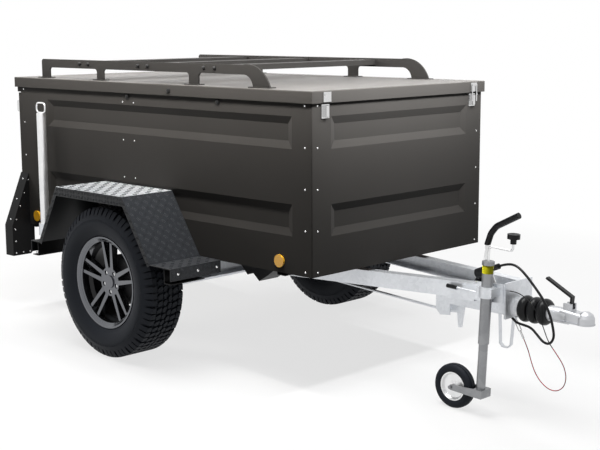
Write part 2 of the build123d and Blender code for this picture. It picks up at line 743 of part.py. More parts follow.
def load_box():
    inner = HALF_W - WALL_T
    z = (BOX_BOTTOM, WALL_TOP)
    side = block((WALL_END, 0), (inner, HALF_W), z)
    corner = side.edges().filter_by(Axis.Z).group_by(Axis.X)[-1].sort_by(Axis.Y)[-1]
    side = fillet(corner, CORNER_ROUND)
    front = block((-WALL_T, 0), about(0, inner), z)
    for rise in GROOVE_RISES:
        side = side - groove((SIDE_GROOVE_REAR - BOX_L, -SIDE_GROOVE_FRONT), BOX_BOTTOM + rise,
                             lambda along, depth, z: (along, HALF_W - depth, z))
        front = front - groove(about(0, HALF_W - END_GROOVE_MARGIN), BOX_BOTTOM + rise,
                               lambda along, depth, z: (-depth, along, z))
    keep_sides("wall", side)
    keep("wall_front", front)
    keep("floor_panel", block((WALL_END, -WALL_T), about(0, inner), (FLOOR_LOW, FLOOR_Z)))
    keep("rear_header", block((-BOX_L, WALL_END), about(0, HALF_W), (HEADER_BOTTOM, WALL_TOP)))
    members = []
    for x in CROSS_XS:
        x = about(x, CROSS_W / 2)
        hollow = block((x[0] + CROSS_T, x[1]), about(0, inner), (BEAM_TOP + CROSS_T, FLOOR_LOW - CROSS_T))
        members.append(block(x, about(0, inner), (BEAM_TOP, FLOOR_LOW)) - hollow)
    keep("cross_members", *members)


# Drawbar: two channel beams in a V, open inwards, tied by a head plate and gussets
def drawbar():
    low, t = BEAM_LOW, BEAM_T
    section = [(0, low), (0, BEAM_TOP), (-BEAM_FLANGE, BEAM_TOP), (-BEAM_FLANGE, BEAM_TOP - t),
               (-t, BEAM_TOP - t), (-t, low + t), (-BEAM_FLANGE, low + t), (-BEAM_FLANGE, low)]
    face = Face(Wire.make_polygon([(BEAM_REAR_X, BEAM_REAR_Y + y, z) for y, z in section]))
    run = Vector(BEAM_FRONT_X - BEAM_REAR_X, BEAM_FRONT_Y - BEAM_REAR_Y, 0)
    keep_sides("drawbar", extrude(face, run.length, dir=run.normalized()))
    plate = block((BEAM_FRONT_X, HEAD_X), about(0, BEAM_FRONT_Y),
                  (HOUSING_LOW, BEAM_TOP + HEAD_PLATE_OVER))
    rear = HOUSING_REAR + GUSSET_FROM
    front = rear + GUSSET_L
    outline = [(rear, HOUSING_HALF), (front, HOUSING_HALF), (front, beam_y(front)), (rear, beam_y(rear))]
    gusset = slab_z(outline, (BEAM_LOW - HEAD_PLATE_T, BEAM_LOW))
    keep("drawbar_head", plate, *both_sides(gusset))


def outriggers():
    half, t = OUTRIGGER_W / 2, OUTRIGGER_T
    z = (BOX_BOTTOM - OUTRIGGER_H, BOX_BOTTOM)
    inside = (z[0] + t, z[1] - t)
    end = FENDER_OUT - 2 * FENDER_T
    rear, front = about(FENDER_FRONT - FENDER_T - half, half)
    outline = [(rear, beam_y(rear)), (front, beam_y(front)), (front, end), (rear, end)]
    short = slab_z(outline, z) - block((rear + t, front), (BEAM_FRONT_Y, FENDER_OUT), inside)
    rear, front = about(FENDER_REAR + FENDER_T + half, half)
    long = block((rear, front), about(0, end), z) - block((rear, front - t), about(0, FENDER_OUT), inside)
    keep("outriggers", *both_sides(short), long)


def fenders():
    shelf, edge = FENDER_SHELF, FENDER_SHELF - FENDER_FLANGE
    hood = [(FENDER_REAR_XS[1], shelf), (FENDER_REAR_XS[0], FENDER_TOP),
            (FENDER_FRONT_XS[0], FENDER_TOP), (FENDER_FRONT_XS[1], shelf)]
    line = [(FENDER_REAR, edge), (FENDER_REAR, shelf), *hood, (FENDER_FRONT, shelf), (FENDER_FRONT, edge)]
    sheet = slab_y(folded(line, [FENDER_T] * (len(line) - 1)), (HALF_W, FENDER_OUT))
    skirt = slab_y(folded(hood, [SKIRT_SLOPE_W, SKIRT_TOP_W, SKIRT_SLOPE_W]),
                   (FENDER_OUT - FENDER_T, FENDER_OUT))
    keep_sides("fender", sheet + skirt)


def lamps():
    x = (-BOX_L, CARRIER_DEEP - BOX_L)
    edge = [(HALF_W, CARRIER_TOP), (CARRIER_OUT, BOX_BOTTOM), (CARRIER_OUT, CARRIER_BOTTOM),
            (CARRIER_IN + CARRIER_ROUND, CARRIER_BOTTOM)]
    flange = slab_x(folded(edge, [CARRIER_T] * 3), x)
    outline = edge + [(CARRIER_IN, CARRIER_BOTTOM + CARRIER_ROUND), (CARRIER_IN, BOX_BOTTOM),
                      (HALF_W, BOX_BOTTOM)]
    plate_x = (x[1] - CARRIER_T, x[1])
    carrier = flange + slab_x(outline, plate_x)
    carrier = carrier - block(x, (0, HALF_W), (BOX_BOTTOM, CARRIER_TOP + CARRIER_DEEP))
    keep("lamp_carriers", *both_sides(carrier))
    lamp = block((plate_x[0] - LAMP_DEEP, plate_x[0]), about((CARRIER_OUT + HALF_W) / 2, LAMP_W / 2),
                 about(CARRIER_BOTTOM + LAMP_LIFT, LAMP_H / 2))
    keep("tail_lamps", *both_sides(fillet(lamp.edges().filter_by(Axis.X), LAMP_ROUND)))
    discs = []
    for x_disc in (-REFLECTOR_FRONT, REFLECTOR_REAR - BOX_L):
        disc = rod_y(x_disc, (HALF_W, HALF_W + REFLECTOR_T), BOX_BOTTOM + REFLECTOR_RISE, REFLECTOR_R)
        discs.extend(both_sides(disc))
    keep("reflectors", *discs)


def props():
    x, y = PROP_X, PROP_Y
    tube = rod_z(x, y, (PROP_TUBE_LOW, PROP_TOP), PROP_R)
    tube = tube - rod_z(x, y, (PROP_TUBE_LOW + PROP_END_T, PROP_TOP - PROP_END_T), PROP_R - PROP_WALL)
    foot_top = PROP_TUBE_LOW - PROP_SPIGOT_L
    foot = rod_z(x, y, (foot_top - PROP_FOOT_T, foot_top), PROP_FOOT_R)
    spigot = rod_z(x, y, (foot_top, PROP_TUBE_LOW), PROP_SPIGOT_R)
    left, right = about(x, PROP_LOOP_W / 2 - PROP_WIRE_R)
    low = PROP_TOP + PROP_WIRE_R / 2
    high = PROP_TOP + PROP_LOOP_H - PROP_WIRE_R
    loop = FilletPolyline((left, y, low), (right, y, low), (right, y, high), (left, y, high),
                          radius=PROP_LOOP_BEND, close=True)
    keep_sides("prop", tube + foot + spigot + bent(loop, PROP_WIRE_R))
    z = (CLAMP_LOW, CLAMP_HIGH)
    ring = rod_z(x, y, z, PROP_R + CLAMP_WALL)
    arm = block(about(x, CLAMP_ARM_HALF), (HALF_W, y), (BOX_BOTTOM, CLAMP_HIGH))
    screw_z = (CLAMP_LOW + BOX_BOTTOM) / 2
    tip, head = x + PROP_R + CLAMP_BITE, x + PROP_R + CLAMP_SCREW_L
    screw = rod_x((tip, head), y, screw_z, CLAMP_SCREW_R)
    knob = rod_x((head - CLAMP_KNOB_L / 2, head + CLAMP_KNOB_L / 2), y, screw_z, CLAMP_KNOB_R)
    keep("prop_clamps", *both_sides(ring + arm + screw + knob - rod_z(x, y, z, PROP_R + RUN_FIT)))


# Lid with rack, latches and hinges
def lid():
    x, y, t = (LID_REAR, LID_OVER), about(0, LID_OUT), LID_SHEET
    shell = block(x, y, (SKIRT_EDGE, LID_TOP))
    shell = fillet(shell.edges().filter_by(Axis.Z) + shell.edges().group_by(Axis.Z)[-1], LID_ROUND)
    hollow = block((x[0] + t, x[1] - t), about(0, LID_OUT - t), (SKIRT_EDGE, LID_TOP - t))
    keep("lid_panel", shell - hollow)
    keep("rack_rails", *both_sides(rack_rail()))
    bars = []
    top, end = RACK_TOP - CROSSBAR_DROP, RACK_Y - RACK_T / 2
    for x_bar in CROSSBAR_XS:
        bar = block(about(x_bar, CROSSBAR_W / 2), about(0, end), (top - CROSSBAR_H, top))
        inside = block(about(x_bar, CROSSBAR_W / 2 - CROSSBAR_T), about(0, end),
                       (top - CROSSBAR_H + CROSSBAR_T, top - CROSSBAR_T))
        bars.append(bar - inside)
    keep("rack_bars", *bars)


def rack_rail():
    """Left rail: a plate on feet, rounded where they meet it, swept down to the foremost foot."""
    feet = []
    for end, rear, front in RACK_FEET:
        feet.append((rear - BOX_L, front - BOX_L) if end == "rear" else (-rear, -front))
    bar_low, pad_top = RACK_TOP - RACK_BAR_H, LID_TOP + RACK_PAD_T
    y = about(RACK_Y, RACK_T / 2)
    nose = feet[-1]
    start = nose[0] - RACK_NOSE_BACK
    outline = [(feet[0][0], RACK_TOP), (start, RACK_TOP), (start, bar_low)]
    for rear, front in feet[-2::-1]:
        outline.extend([(front, bar_low), (front, pad_top), (rear, pad_top), (rear, bar_low)])
    rail = slab_y(outline[:-1], y)
    bends = [edge for edge in rail.edges().filter_by(Axis.Y)
             if edge.center().Z > pad_top + RACK_PAD_T and edge.center().X < start - RACK_PAD_T]
    rail = fillet(bends, RACK_ROUND)

    def arc(reach, rise):
        """Quarter bow from above the start of the nose down to the pad, and its two ends."""
        bow = sin(radians(45))
        ends = (start, y[0], pad_top + rise), (start + reach, y[0], pad_top)
        return ThreePointArc(ends[0], (start + reach * bow, y[0], pad_top + rise * bow), ends[1]), ends

    outer, (high, tip) = arc(nose[1] - start, RACK_TOP - pad_top)
    inner, (low, heel) = arc(nose[0] - start, bar_low - pad_top)
    rail = rail + extrude(Face(Wire([Line(high, low), inner, Line(heel, tip), outer])), RACK_T, dir=(0, 1, 0))
    for rear, front in feet:
        rail = rail + block((rear - RACK_PAD_OVER, front + RACK_PAD_OVER), about(RACK_Y, RACK_PAD_W / 2),
                            (LID_TOP, pad_top))
    return rail


def lid_latches():
    fixed, moving = [], []
    top, plate = SKIRT_EDGE - LATCH_GAP, LID_OVER + LATCH_T
    bail_x, bail_z = plate + BAIL_R, (LATCH_LOW + BAIL_RISE, LID_TOP - BAIL_DOWN)
    for y in (LATCH_Y, -LATCH_Y):
        base = block((0, LATCH_T), about(y, LATCH_HALF), (LATCH_LOW, top))
        lever = block((LATCH_T, LATCH_T + LATCH_LEVER_OUT), about(y, LATCH_LEVER_HALF),
                      (LATCH_LOW + LATCH_EDGE, top - LATCH_EDGE))
        fixed.append(base + fillet(lever.edges().filter_by(Axis.Y).group_by(Axis.X)[-1], LATCH_LEVER_ROUND))
        keeper = block((LID_OVER, plate), about(y, LATCH_HALF),
                       (SKIRT_EDGE + LATCH_EDGE, LID_TOP - LATCH_GAP))
        hook = block((plate, bail_x), about(y, BAIL_HALF), about(bail_z[1], LATCH_EDGE))
        bail = rod_y(bail_x, about(y, BAIL_HALF + BAIL_R), bail_z[1], BAIL_R)
        for leg in about(y, BAIL_HALF):
            bail = bail + rod_z(bail_x, leg, bail_z, BAIL_R)
        moving.append(keeper + hook + bail)
    keep("lid_latches", *fixed)
    keep("latch_bails", *moving)


def outer_knuckles(y):
    """The two stretches of a hinge's pin that its moving leaf takes."""
    low, high = about(y, HINGE_HALF)
    inner_low, inner_high = about(y, KNUCKLE_HALF + KNUCKLE_GAP)
    return (low, inner_low), (inner_high, high)


def lid_hinges():
    fixed, moving = [], []
    x, z = LID_AXIS_X, LID_AXIS_Z
    for y in (HINGE_Y, -HINGE_Y):
        short, long = about(y, KNUCKLE_HALF), about(y, HINGE_HALF)
        leaf = block((-BOX_L - LEAF_T, -BOX_L), short, (HEADER_BOTTOM + LEAF_EDGE, z))
        leaf = leaf + block((x, -BOX_L), short, (z - KNUCKLE_R, z)) + rod_y(x, short, z, KNUCKLE_R)
        fixed.append(leaf + rod_y(x, long, z, PIN_R))
        leaf = block((LID_REAR - LEAF_T, LID_REAR), long, (SKIRT_EDGE + LEAF_EDGE, LID_TOP - LEAF_TOP_GAP))
        for part in outer_knuckles(y):
            leaf = leaf + block((x, LID_REAR), part, (z, SKIRT_EDGE + LEAF_LAP))
            leaf = leaf + rod_y(x, part, z, KNUCKLE_R)
        moving.append(leaf - rod_y(x, long, z, PIN_R + RUN_FIT))
    keep("lid_hinges", *fixed)
    keep("lid_hinge_leaves", *moving)


def tailgate():
    half = HALF_W - TAILGATE_SIDE_GAP
    panel = block((-BOX_L, GATE_FACE), about(0, half), (TAILGATE_BOTTOM, HEADER_BOTTOM - HEADER_GAP))
    for rise in GROOVE_RISES:
        panel = panel - groove(about(0, HALF_W - END_GROOVE_MARGIN), BOX_BOTTOM + rise,
                               lambda along, depth, height: (depth - BOX_L, along, height))
    keep("tailgate_panel", panel)
    fixed, moving = [], []
    x, z = GATE_AXIS_X, GATE_AXIS_Z
    for y in (HINGE_Y, -HINGE_Y):
        short, long = about(y, KNUCKLE_HALF), about(y, HINGE_HALF)
        arm = block((x, WALL_END), short, (z - KNUCKLE_R, z)) + rod_y(x, short, z, KNUCKLE_R)
        fixed.append(arm + rod_y(x, long, z, PIN_R))
        strap_z = (TAILGATE_BOTTOM, TAILGATE_BOTTOM + GATE_STRAP_H)
        strap = block((-BOX_L - LEAF_T, -BOX_L), long, strap_z)
        for part in outer_knuckles(y):
            strap = strap + block((x, -BOX_L), part, (z, TAILGATE_BOTTOM + LEAF_LAP))
            strap = strap + rod_y(x, part, z, KNUCKLE_R)
        strap = strap - block((-BOX_L, GATE_FACE), long, strap_z)
        moving.append(strap - rod_y(x, long, z, PIN_R + RUN_FIT))
    keep("tailgate_hinges", *fixed)
    keep("tailgate_straps", *moving)
    top = HEADER_BOTTOM - GATE_LATCH_DOWN
    case = block((-BOX_L - GATE_LATCH_DEEP, -BOX_L), about(half - GATE_LATCH_IN, GATE_LATCH_HALF),
                 (top - GATE_LATCH_H, top))
    case = fillet(case.edges().filter_by(Axis.Y).group_by(Axis.X)[0], GATE_LATCH_ROUND)
    keep("tailgate_latches", *both_sides(case))


# Overrun device, coupling, hand brake
def overrun():
    housing = block((HOUSING_REAR, BEAM_FRONT_X), about(0, HOUSING_HALF), (HOUSING_LOW, HOUSING_HIGH))
    housing = fillet(housing.edges().filter_by(Axis.X), HOUSING_ROUND)
    x, z, y = HOOK_EYE[0], HOOK_EYE[2], about(0, EYE_HALF_T)
    eye = block(about(x, EYE_WALL + EYE_HALF_T), y, (z, HOUSING_LOW)) + rod_y(x, y, z, HOOK_EYE_R + EYE_WALL)
    keep("overrun_housing", housing + eye - rod_y(x, y, z, HOOK_EYE_R))
    boss = rod_x((HEAD_X, BELLOWS_START), 0, COUPLING_Z, BOSS_R)
    keep("draw_tube", boss + rod_x((HEAD_X, SOCKET_END), 0, COUPLING_Z, TUBE_R))
    step, swell = BELLOWS_L / BELLOWS_FOLDS, BELLOWS_PEAK_R - BELLOWS_VALLEY_R
    outline = [(0, TUBE_R), (0, BELLOWS_VALLEY_R)]
    for fold in range(BELLOWS_FOLDS):
        for share, up in BELLOWS_FOLD:
            outline.append(((fold + share) * step, BELLOWS_VALLEY_R + up * swell))
    outline.append((BELLOWS_L, TUBE_R))
    keep("bellows", Pos(BELLOWS_START, 0, COUPLING_Z) * Rot(0, 0, -90) * turned(outline))


def coupling():
    x_slot = (SOCKET_END - EAR_BACK, SOCKET_END + EAR_AHEAD)
    rim_z = (CUP_RIM_Z, CUP_RIM_Z + CUP_RIM_T)
    head = rod_x((BELLOWS_END, SOCKET_END), 0, COUPLING_Z, SOCKET_R)
    sections = []
    for x, (wide, high) in zip((SOCKET_END - THROAT_BACK, BALL_X), THROAT):
        plane = Plane(origin=(x, 0, CUP_RIM_Z + high / 2), x_dir=(0, 1, 0), z_dir=(1, 0, 0))
        sections.append(plane * RectangleRounded(wide, high, THROAT_ROUND))
    head = head + loft(sections, ruled=True)
    place = Pos(BALL_X, 0, BALL_Z)
    dome = spun([(0, -CUP_LIP), (CUP_R, -CUP_LIP), (CUP_R, SEAT_RISE)]
                + [(CUP_R * out, CUP_R * up) for out, up in CUP_DOME])
    edge = CUP_R + CUP_RIM_OVER
    plate = rod_z(BALL_X, 0, rim_z, edge)
    plate = plate + block((SOCKET_END - THROAT_BACK, BALL_X), about(0, edge - CUP_RIM_T), rim_z)
    ears = block(x_slot, about(0, EAR_HALF), (COUPLING_Z + EAR_FOOT, COUPLING_Z + EAR_TOP))
    ears = ears - block(x_slot, about(0, LEVER_W / 2), (COUPLING_Z + EAR_SLOT, COUPLING_Z + EAR_TOP))
    head = head + place * dome + plate + ears
    head = head - rod_x((BELLOWS_END, SOCKET_END), 0, COUPLING_Z, TUBE_R)
    mouth = -CUP_LIP - CUP_R
    seat = spun([(0, mouth), (BALL_R, mouth), (BALL_R, SEAT_RISE), (SEAT_RISE, BALL_R), (0, BALL_R)])
    keep("coupling_head", head - place * seat)
    base = COUPLING_Z + EAR_SLOT
    line = [(SOCKET_END + LEVER_T / 2, base), (SOCKET_END + LEVER_T, base + LEVER_RISE),
            (SOCKET_END + LEVER_T - LEVER_REACH, base + LEVER_RISE + LEVER_CLIMB)]
    lever = slab_y(folded(line, [LEVER_T, LEVER_T]), about(0, LEVER_W / 2))
    keep("coupling_lever", lever - block((BELLOWS_START, BALL_X), about(0, LEVER_W), (0, base)))


def hand_brake():
    x, top, past = BRAKE_X, BRAKE_CHEEK_TOP, BRAKE_CHEEK_IN + BRAKE_CHEEK_T
    cheek = slab_y([(x - BRAKE_CHEEK_FOOT, HOUSING_HIGH), (x + BRAKE_CHEEK_FOOT, HOUSING_HIGH),
                    (x + BRAKE_CHEEK_HEAD, top), (x - BRAKE_CHEEK_HEAD, top)], (BRAKE_CHEEK_IN, past))
    pivot_z = top - BRAKE_PIVOT_DOWN
    foot = pivot_z - BRAKE_LEVER_FOOT
    blade = slab_y([(x - BRAKE_LEVER_FOOT, foot), (x + BRAKE_LEVER_FOOT, foot),
                    (x + GRIP_LINE[0][0] + BRAKE_LEVER_HEAD, BRAKE_LEVER_TOP),
                    (x + GRIP_LINE[0][0] - BRAKE_LEVER_HEAD, BRAKE_LEVER_TOP)], about(0, BRAKE_LEVER_T / 2))
    pin = rod_y(x, about(0, past), pivot_z, BRAKE_PIVOT_R)
    keep("handbrake_lever", blade + pin + both_sides(cheek))
    points = [(x + ahead, 0, BRAKE_LEVER_TOP + up) for ahead, up in GRIP_LINE]
    path = FilletPolyline(*points, radius=GRIP_BEND)
    below = block(about(x, BRAKE_CHEEK_FOOT), about(0, 2 * GRIP_R), (foot, BRAKE_LEVER_TOP))
    keep("handbrake_grip", bent(path, GRIP_R) - below)


def linkage_and_strap():
    y = (HOUSING_HALF - LINK_INSET - LINK_T, HOUSING_HALF - LINK_INSET)
    high = HOUSING_HIGH - LINK_HEAD_DOWN
    cheek = slab_y([(HOUSING_REAR, high), (LINK_X - LINK_TAIL, high - LINK_HEAD_DOWN),
                    (LINK_X - LINK_TAIL, LINK_Z + LINK_LOBE / 2), (LINK_X - LINK_T, LINK_Z - LINK_LOBE),
                    (HOUSING_REAR, LINK_Z - LINK_PIN_R)], y)
    pin = rod_y(LINK_X, about(0, y[1]), LINK_Z, LINK_PIN_R)
    start = Vector(LINK_X, 0, LINK_Z)
    axle_face = AXLE_BEAM_X + AXLE_SIDE / 2
    run = Vector(axle_face, 0, BEAM_LOW - AXLE_SIDE / 2) - start
    rod = extrude(Plane(origin=start, z_dir=run.normalized()) * Circle(ROD_R), run.length + ROD_R)
    rod = rod - block((AXLE_BEAM_X, axle_face), about(0, AXLE_SIDE), (BEAM_LOW - AXLE_SIDE, BEAM_LOW))
    keep("brake_linkage", pin + both_sides(cheek) + rod)
    foot = HOUSING_REAR + TONGUE_FROM
    tip = foot + TONGUE_W / 4
    tongue = slab_y([(foot, HOUSING_LOW), (foot + TONGUE_W, HOUSING_LOW),
                     (tip + TONGUE_TIP_W, HOUSING_LOW - TONGUE_H), (tip, HOUSING_LOW - TONGUE_H)],
                    about(0, TONGUE_HALF))
    bend_z = STRAP_LOW + STRAP_BEND
    front, rear = STRAP_FRONT - STRAP_LEAN, STRAP_REAR + STRAP_LEAN / 2
    line = [(STRAP_FRONT, HOUSING_LOW), (front, bend_z), (front - STRAP_BEND, STRAP_LOW),
            (rear + STRAP_BEND, STRAP_LOW), (rear, bend_z), (STRAP_REAR, HOUSING_LOW)]
    strap = slab_y(folded(line, [STRAP_T] * 5), about(STRAP_Y, STRAP_W / 2))
    strap = strap - block((HOUSING_REAR, BEAM_FRONT_X), about(0, HOUSING_HALF), (HOUSING_LOW, HOUSING_HIGH))
    keep("guard_strap", tongue, strap)


# Jack wheel, in its own upright frame: z 0 at the clamp, the ground at -JACK_DROP
def jack():
    tube = rod_z(0, 0, (-JACK_TUBE_DOWN, JACK_TUBE_UP), JACK_R)
    tube = tube - rod_z(0, 0, (-JACK_TUBE_DOWN, JACK_TUBE_UP - JACK_TUBE_TOP_T), JACK_LEG_R + RUN_FIT)
    top = JACK_TUBE_UP + JACK_CAP_H
    keep("jack_tube", JACK_PLACE * (tube + rod_z(0, 0, (JACK_TUBE_UP, top), JACK_R + JACK_CAP_OVER)))

    axle_z = JACK_WHEEL_R - JACK_DROP
    low = axle_z - JACK_LEG_PAST
    leg = rod_z(0, 0, (low, JACK_LEG_TOP), JACK_LEG_R)
    bore = rod_z(0, 0, (low + JACK_LEG_PLUG, JACK_LEG_TOP), JACK_LEG_R - JACK_LEG_WALL)
    keep("jack_leg", JACK_PLACE * (leg - bore))
    y = (JACK_WHEEL_HALF + FORK_GAP, JACK_WHEEL_HALF + FORK_GAP + FORK_T)
    z = (low, low + FORK_H)
    fork = block((-FORK_BACK, JACK_LEG_R + FORK_FRONT), about(0, y[1]), z)
    fork = fork - rod_z(0, 0, z, JACK_LEG_R + RUN_FIT)
    arm = slab_y([(-FORK_BACK, z[0]), (-FORK_BACK, z[1]), (-JACK_TRAIL, axle_z + FORK_END),
                  (-JACK_TRAIL - FORK_END, axle_z), (-JACK_TRAIL, axle_z - FORK_END)], y)
    fork = fork + both_sides(arm)
    fork = fork + rod_y(-JACK_TRAIL, about(0, y[1] + JACK_PIN_PAST), axle_z, JACK_PIN_R)
    keep("jack_fork", JACK_PLACE * fork)
    wheel = JACK_PLACE * Pos(-JACK_TRAIL, 0, axle_z)
    bore, hub = JACK_PIN_R + RUN_FIT, JACK_PIN_R + RUN_FIT + JACK_HUB_WALL
    edge, flank = JACK_RIM_R - JACK_RIM_EDGE, JACK_RIM_R - JACK_RIM_EDGE - JACK_RIM_FLANK
    half = [(JACK_WHEEL_HALF, bore), (JACK_WHEEL_HALF, hub), (JACK_WEB_HALF, hub), (JACK_WEB_HALF, flank),
            (JACK_SEAT_HALF, edge), (JACK_SEAT_HALF, JACK_RIM_R)]
    keep("jack_rim", wheel * turned(half + [(-along, r) for along, r in half[::-1]]))
    half = [(JACK_SEAT_HALF, JACK_RIM_R), (JACK_WHEEL_HALF, JACK_RIM_R + JACK_TREAD_DROP),
            (JACK_WHEEL_HALF, JACK_WHEEL_R - JACK_TREAD_DROP), (JACK_TREAD_HALF, JACK_WHEEL_R)]
    keep("jack_tyre", wheel * turned(half + [(-along, r) for along, r in half[::-1]]))

    rest, tip = top + CRANK_UP, top + CRANK_UP + CRANK_TIP
    path = FilletPolyline((0, 0, top), (0, 0, rest), (CRANK_REACH, 0, rest), (CRANK_REACH, 0, tip),
                          radius=CRANK_BEND)
    keep("jack_crank", JACK_PLACE * bent(path, CRANK_R))
    neck = rod_z(CRANK_REACH, 0, (tip, tip + KNOB_NECK_H), KNOB_NECK_R)
    head = rod_z(CRANK_REACH, 0, (tip + KNOB_NECK_H, tip + KNOB_NECK_H + KNOB_H), KNOB_R)
    keep("jack_knob", JACK_PLACE * (neck + head))


def jack_clamp():
    """Plate on the drawbar beam with a bored arm round the jack's tube and the handle that tightens it."""
    def strip(x, depth):
        """Outline along the beam's outer face, as deep as its two values at the ends."""
        return [(x[0], -beam_y(x[0])), (x[1], -beam_y(x[1])), (x[1], depth[1]), (x[0], depth[0])]

    x = (JACK_X - JACK_PLATE_BACK, JACK_X + JACK_PLATE_AHEAD)
    depth = [-beam_y(end) - JACK_PLATE_T for end in x]
    plate = slab_z(strip(x, depth), (BEAM_LOW, BEAM_TOP + JACK_PLATE_OVER))
    x = about(JACK_X, JACK_ARM_HALF)
    arm = slab_z(strip(x, [JACK_Y - JACK_ARM_PAST] * 2), about(JACK_CLAMP_Z, JACK_ARM_H / 2))
    bore = JACK_PLACE * rod_z(0, 0, about(0, JACK_CLAMP_H), JACK_R)
    z = about(0, JACK_CLAMP_H / 2)
    ring = JACK_PLACE * (rod_z(0, 0, z, JACK_R + JACK_CLAMP_WALL) - rod_z(0, 0, z, JACK_R))
    start = -JACK_ARM_HALF + JACK_HANDLE_R
    end = start - JACK_HANDLE_L
    handle = rod_x((end, start), -JACK_HANDLE_OUT, -JACK_HANDLE_DOWN, JACK_HANDLE_R)
    grip = rod_x((end - JACK_GRIP_L, end), -JACK_HANDLE_OUT, -JACK_HANDLE_DOWN, JACK_GRIP_R)
    keep("jack_clamp", plate + (arm - bore) + ring + JACK_PLACE * (handle + grip))


def breakaway_hook():
    """Snap hook in the eye under the housing, with the sleeve that the breakaway cord ends in."""
    eye = Vector(*HOOK_EYE)
    end = eye + Vector(*HOOK_HANG)
    way = (eye - end).normalized()
    sleeve = extrude(Plane(origin=end, z_dir=way) * Circle(HOOK_SLEEVE_R), HOOK_SLEEVE_L)
    low = end + way * (HOOK_SLEEVE_L - HOOK_WIRE_R)
    high = eye - way * (HOOK_EYE_R - HOOK_WIRE_R - REST_GAP)
    side = Vector(0, HOOK_HALF, 0)
    loop = FilletPolyline(low - side, low + side, high + side, high - side, radius=HOOK_HALF / 2, close=True)
    keep("breakaway_hook", sleeve + bent(loop, HOOK_WIRE_R))


def plug_and_holder():
    start = Vector(BRAKE_X - PLUG_BACK, PLUG_Y, BRAKE_CHEEK_TOP + PLUG_RISE)
    way = Vector(PLUG_RUN, 0, PLUG_CLIMB)
    length, way = way.length, way.normalized()

    def along(r, low, high):
        """A rod on the plug's axis, between two distances from the plug's front end."""
        return extrude(Plane(origin=start + way * low, z_dir=way) * Circle(r), high - low)

    keep("plug", along(PLUG_R, 0, PLUG_BODY_L) + along(PLUG_TAIL_R, PLUG_BODY_L, length))
    outer = PLUG_R + HOLDER_WALL
    cup = along(outer, -HOLDER_BACK_T, HOLDER_L) - along(PLUG_R, 0, HOLDER_L)
    lug = block((BRAKE_X - HOLDER_LUG_BACK, BRAKE_X + HOLDER_LUG_AHEAD),
                (PLUG_Y, -BRAKE_CHEEK_IN - BRAKE_CHEEK_T), (BRAKE_CHEEK_TOP - HOLDER_LUG_H, BRAKE_CHEEK_TOP))
    keep("plug_holder", cup + (lug - along(outer, -2 * outer, length)))


def wheel_chocks():
    rear, top = CHOCK_X - CHOCK_L / 2, FLOOR_LOW - CHOCK_DOWN
    middle = beam_y(rear) + CHOCK_GAP + CHOCK_W / 2
    outline = [(rear + along * CHOCK_L, top - (1 - up) * CHOCK_H) for along, up in CHOCK_LINE]
    chock = slab_y(outline, about(middle, CHOCK_W / 2))
    hanger = block(about(CHOCK_X, HANGER_L / 2), about(middle, HANGER_W / 2), (top, FLOOR_LOW))
    keep("wheel_chocks", *both_sides(chock + hanger))


def write_parts():
    """Moves the standing trailer so that the origin is the middle of its footprint, and writes each node."""
    everything = Compound(children=[solid.moved(Location()) for solids in NODES.values() for solid in solids])
    box = everything.bounding_box()
    middle = (box.min.X + box.max.X) / 2
    print("origin at x", round(middle, 4), "size", box.size, "low", round(box.min.Z, 3))
    os.makedirs("parts", exist_ok=True)
    placed_nodes = {name: [Pos(-middle, 0, 0) * solid for solid in solids] for name, solids in NODES.items()}
    for name, placed in (placed_nodes | CORDS).items():
        shape = placed[0] if len(placed) == 1 else Compound(children=placed)
        export_step(shape, f"parts/{name}.step")


wheels_and_axle()
load_box()
drawbar()
outriggers()
fenders()
lamps()
props()
lid()
lid_latches()
lid_hinges()
tailgate()
overrun()
coupling()
hand_brake()
linkage_and_strap()
jack()
jack_clamp()
breakaway_hook()
plug_and_holder()
wheel_chocks()
cord("power_cable", POWER_ROUTE, POWER_R)
cord("breakaway_cable", BREAKAWAY_ROUTE, BREAKAWAY_R)
write_parts()
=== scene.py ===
import bpy
import bmesh
import json
from math import cos, hypot, pi, radians, sin
from mathutils import Matrix, Vector


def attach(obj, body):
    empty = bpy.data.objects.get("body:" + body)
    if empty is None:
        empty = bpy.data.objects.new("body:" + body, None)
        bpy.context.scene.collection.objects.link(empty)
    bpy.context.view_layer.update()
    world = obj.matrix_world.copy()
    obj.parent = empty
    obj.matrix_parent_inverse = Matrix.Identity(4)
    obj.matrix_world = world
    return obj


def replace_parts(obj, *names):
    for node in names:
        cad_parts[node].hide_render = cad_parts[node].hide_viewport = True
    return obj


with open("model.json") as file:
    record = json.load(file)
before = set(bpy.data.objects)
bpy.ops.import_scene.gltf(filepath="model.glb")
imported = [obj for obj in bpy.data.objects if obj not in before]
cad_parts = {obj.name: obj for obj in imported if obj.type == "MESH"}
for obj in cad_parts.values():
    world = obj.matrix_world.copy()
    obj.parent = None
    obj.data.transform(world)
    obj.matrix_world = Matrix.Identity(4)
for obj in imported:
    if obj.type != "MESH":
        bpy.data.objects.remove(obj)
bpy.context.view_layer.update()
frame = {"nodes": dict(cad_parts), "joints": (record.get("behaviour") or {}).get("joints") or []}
nodes = frame["nodes"]


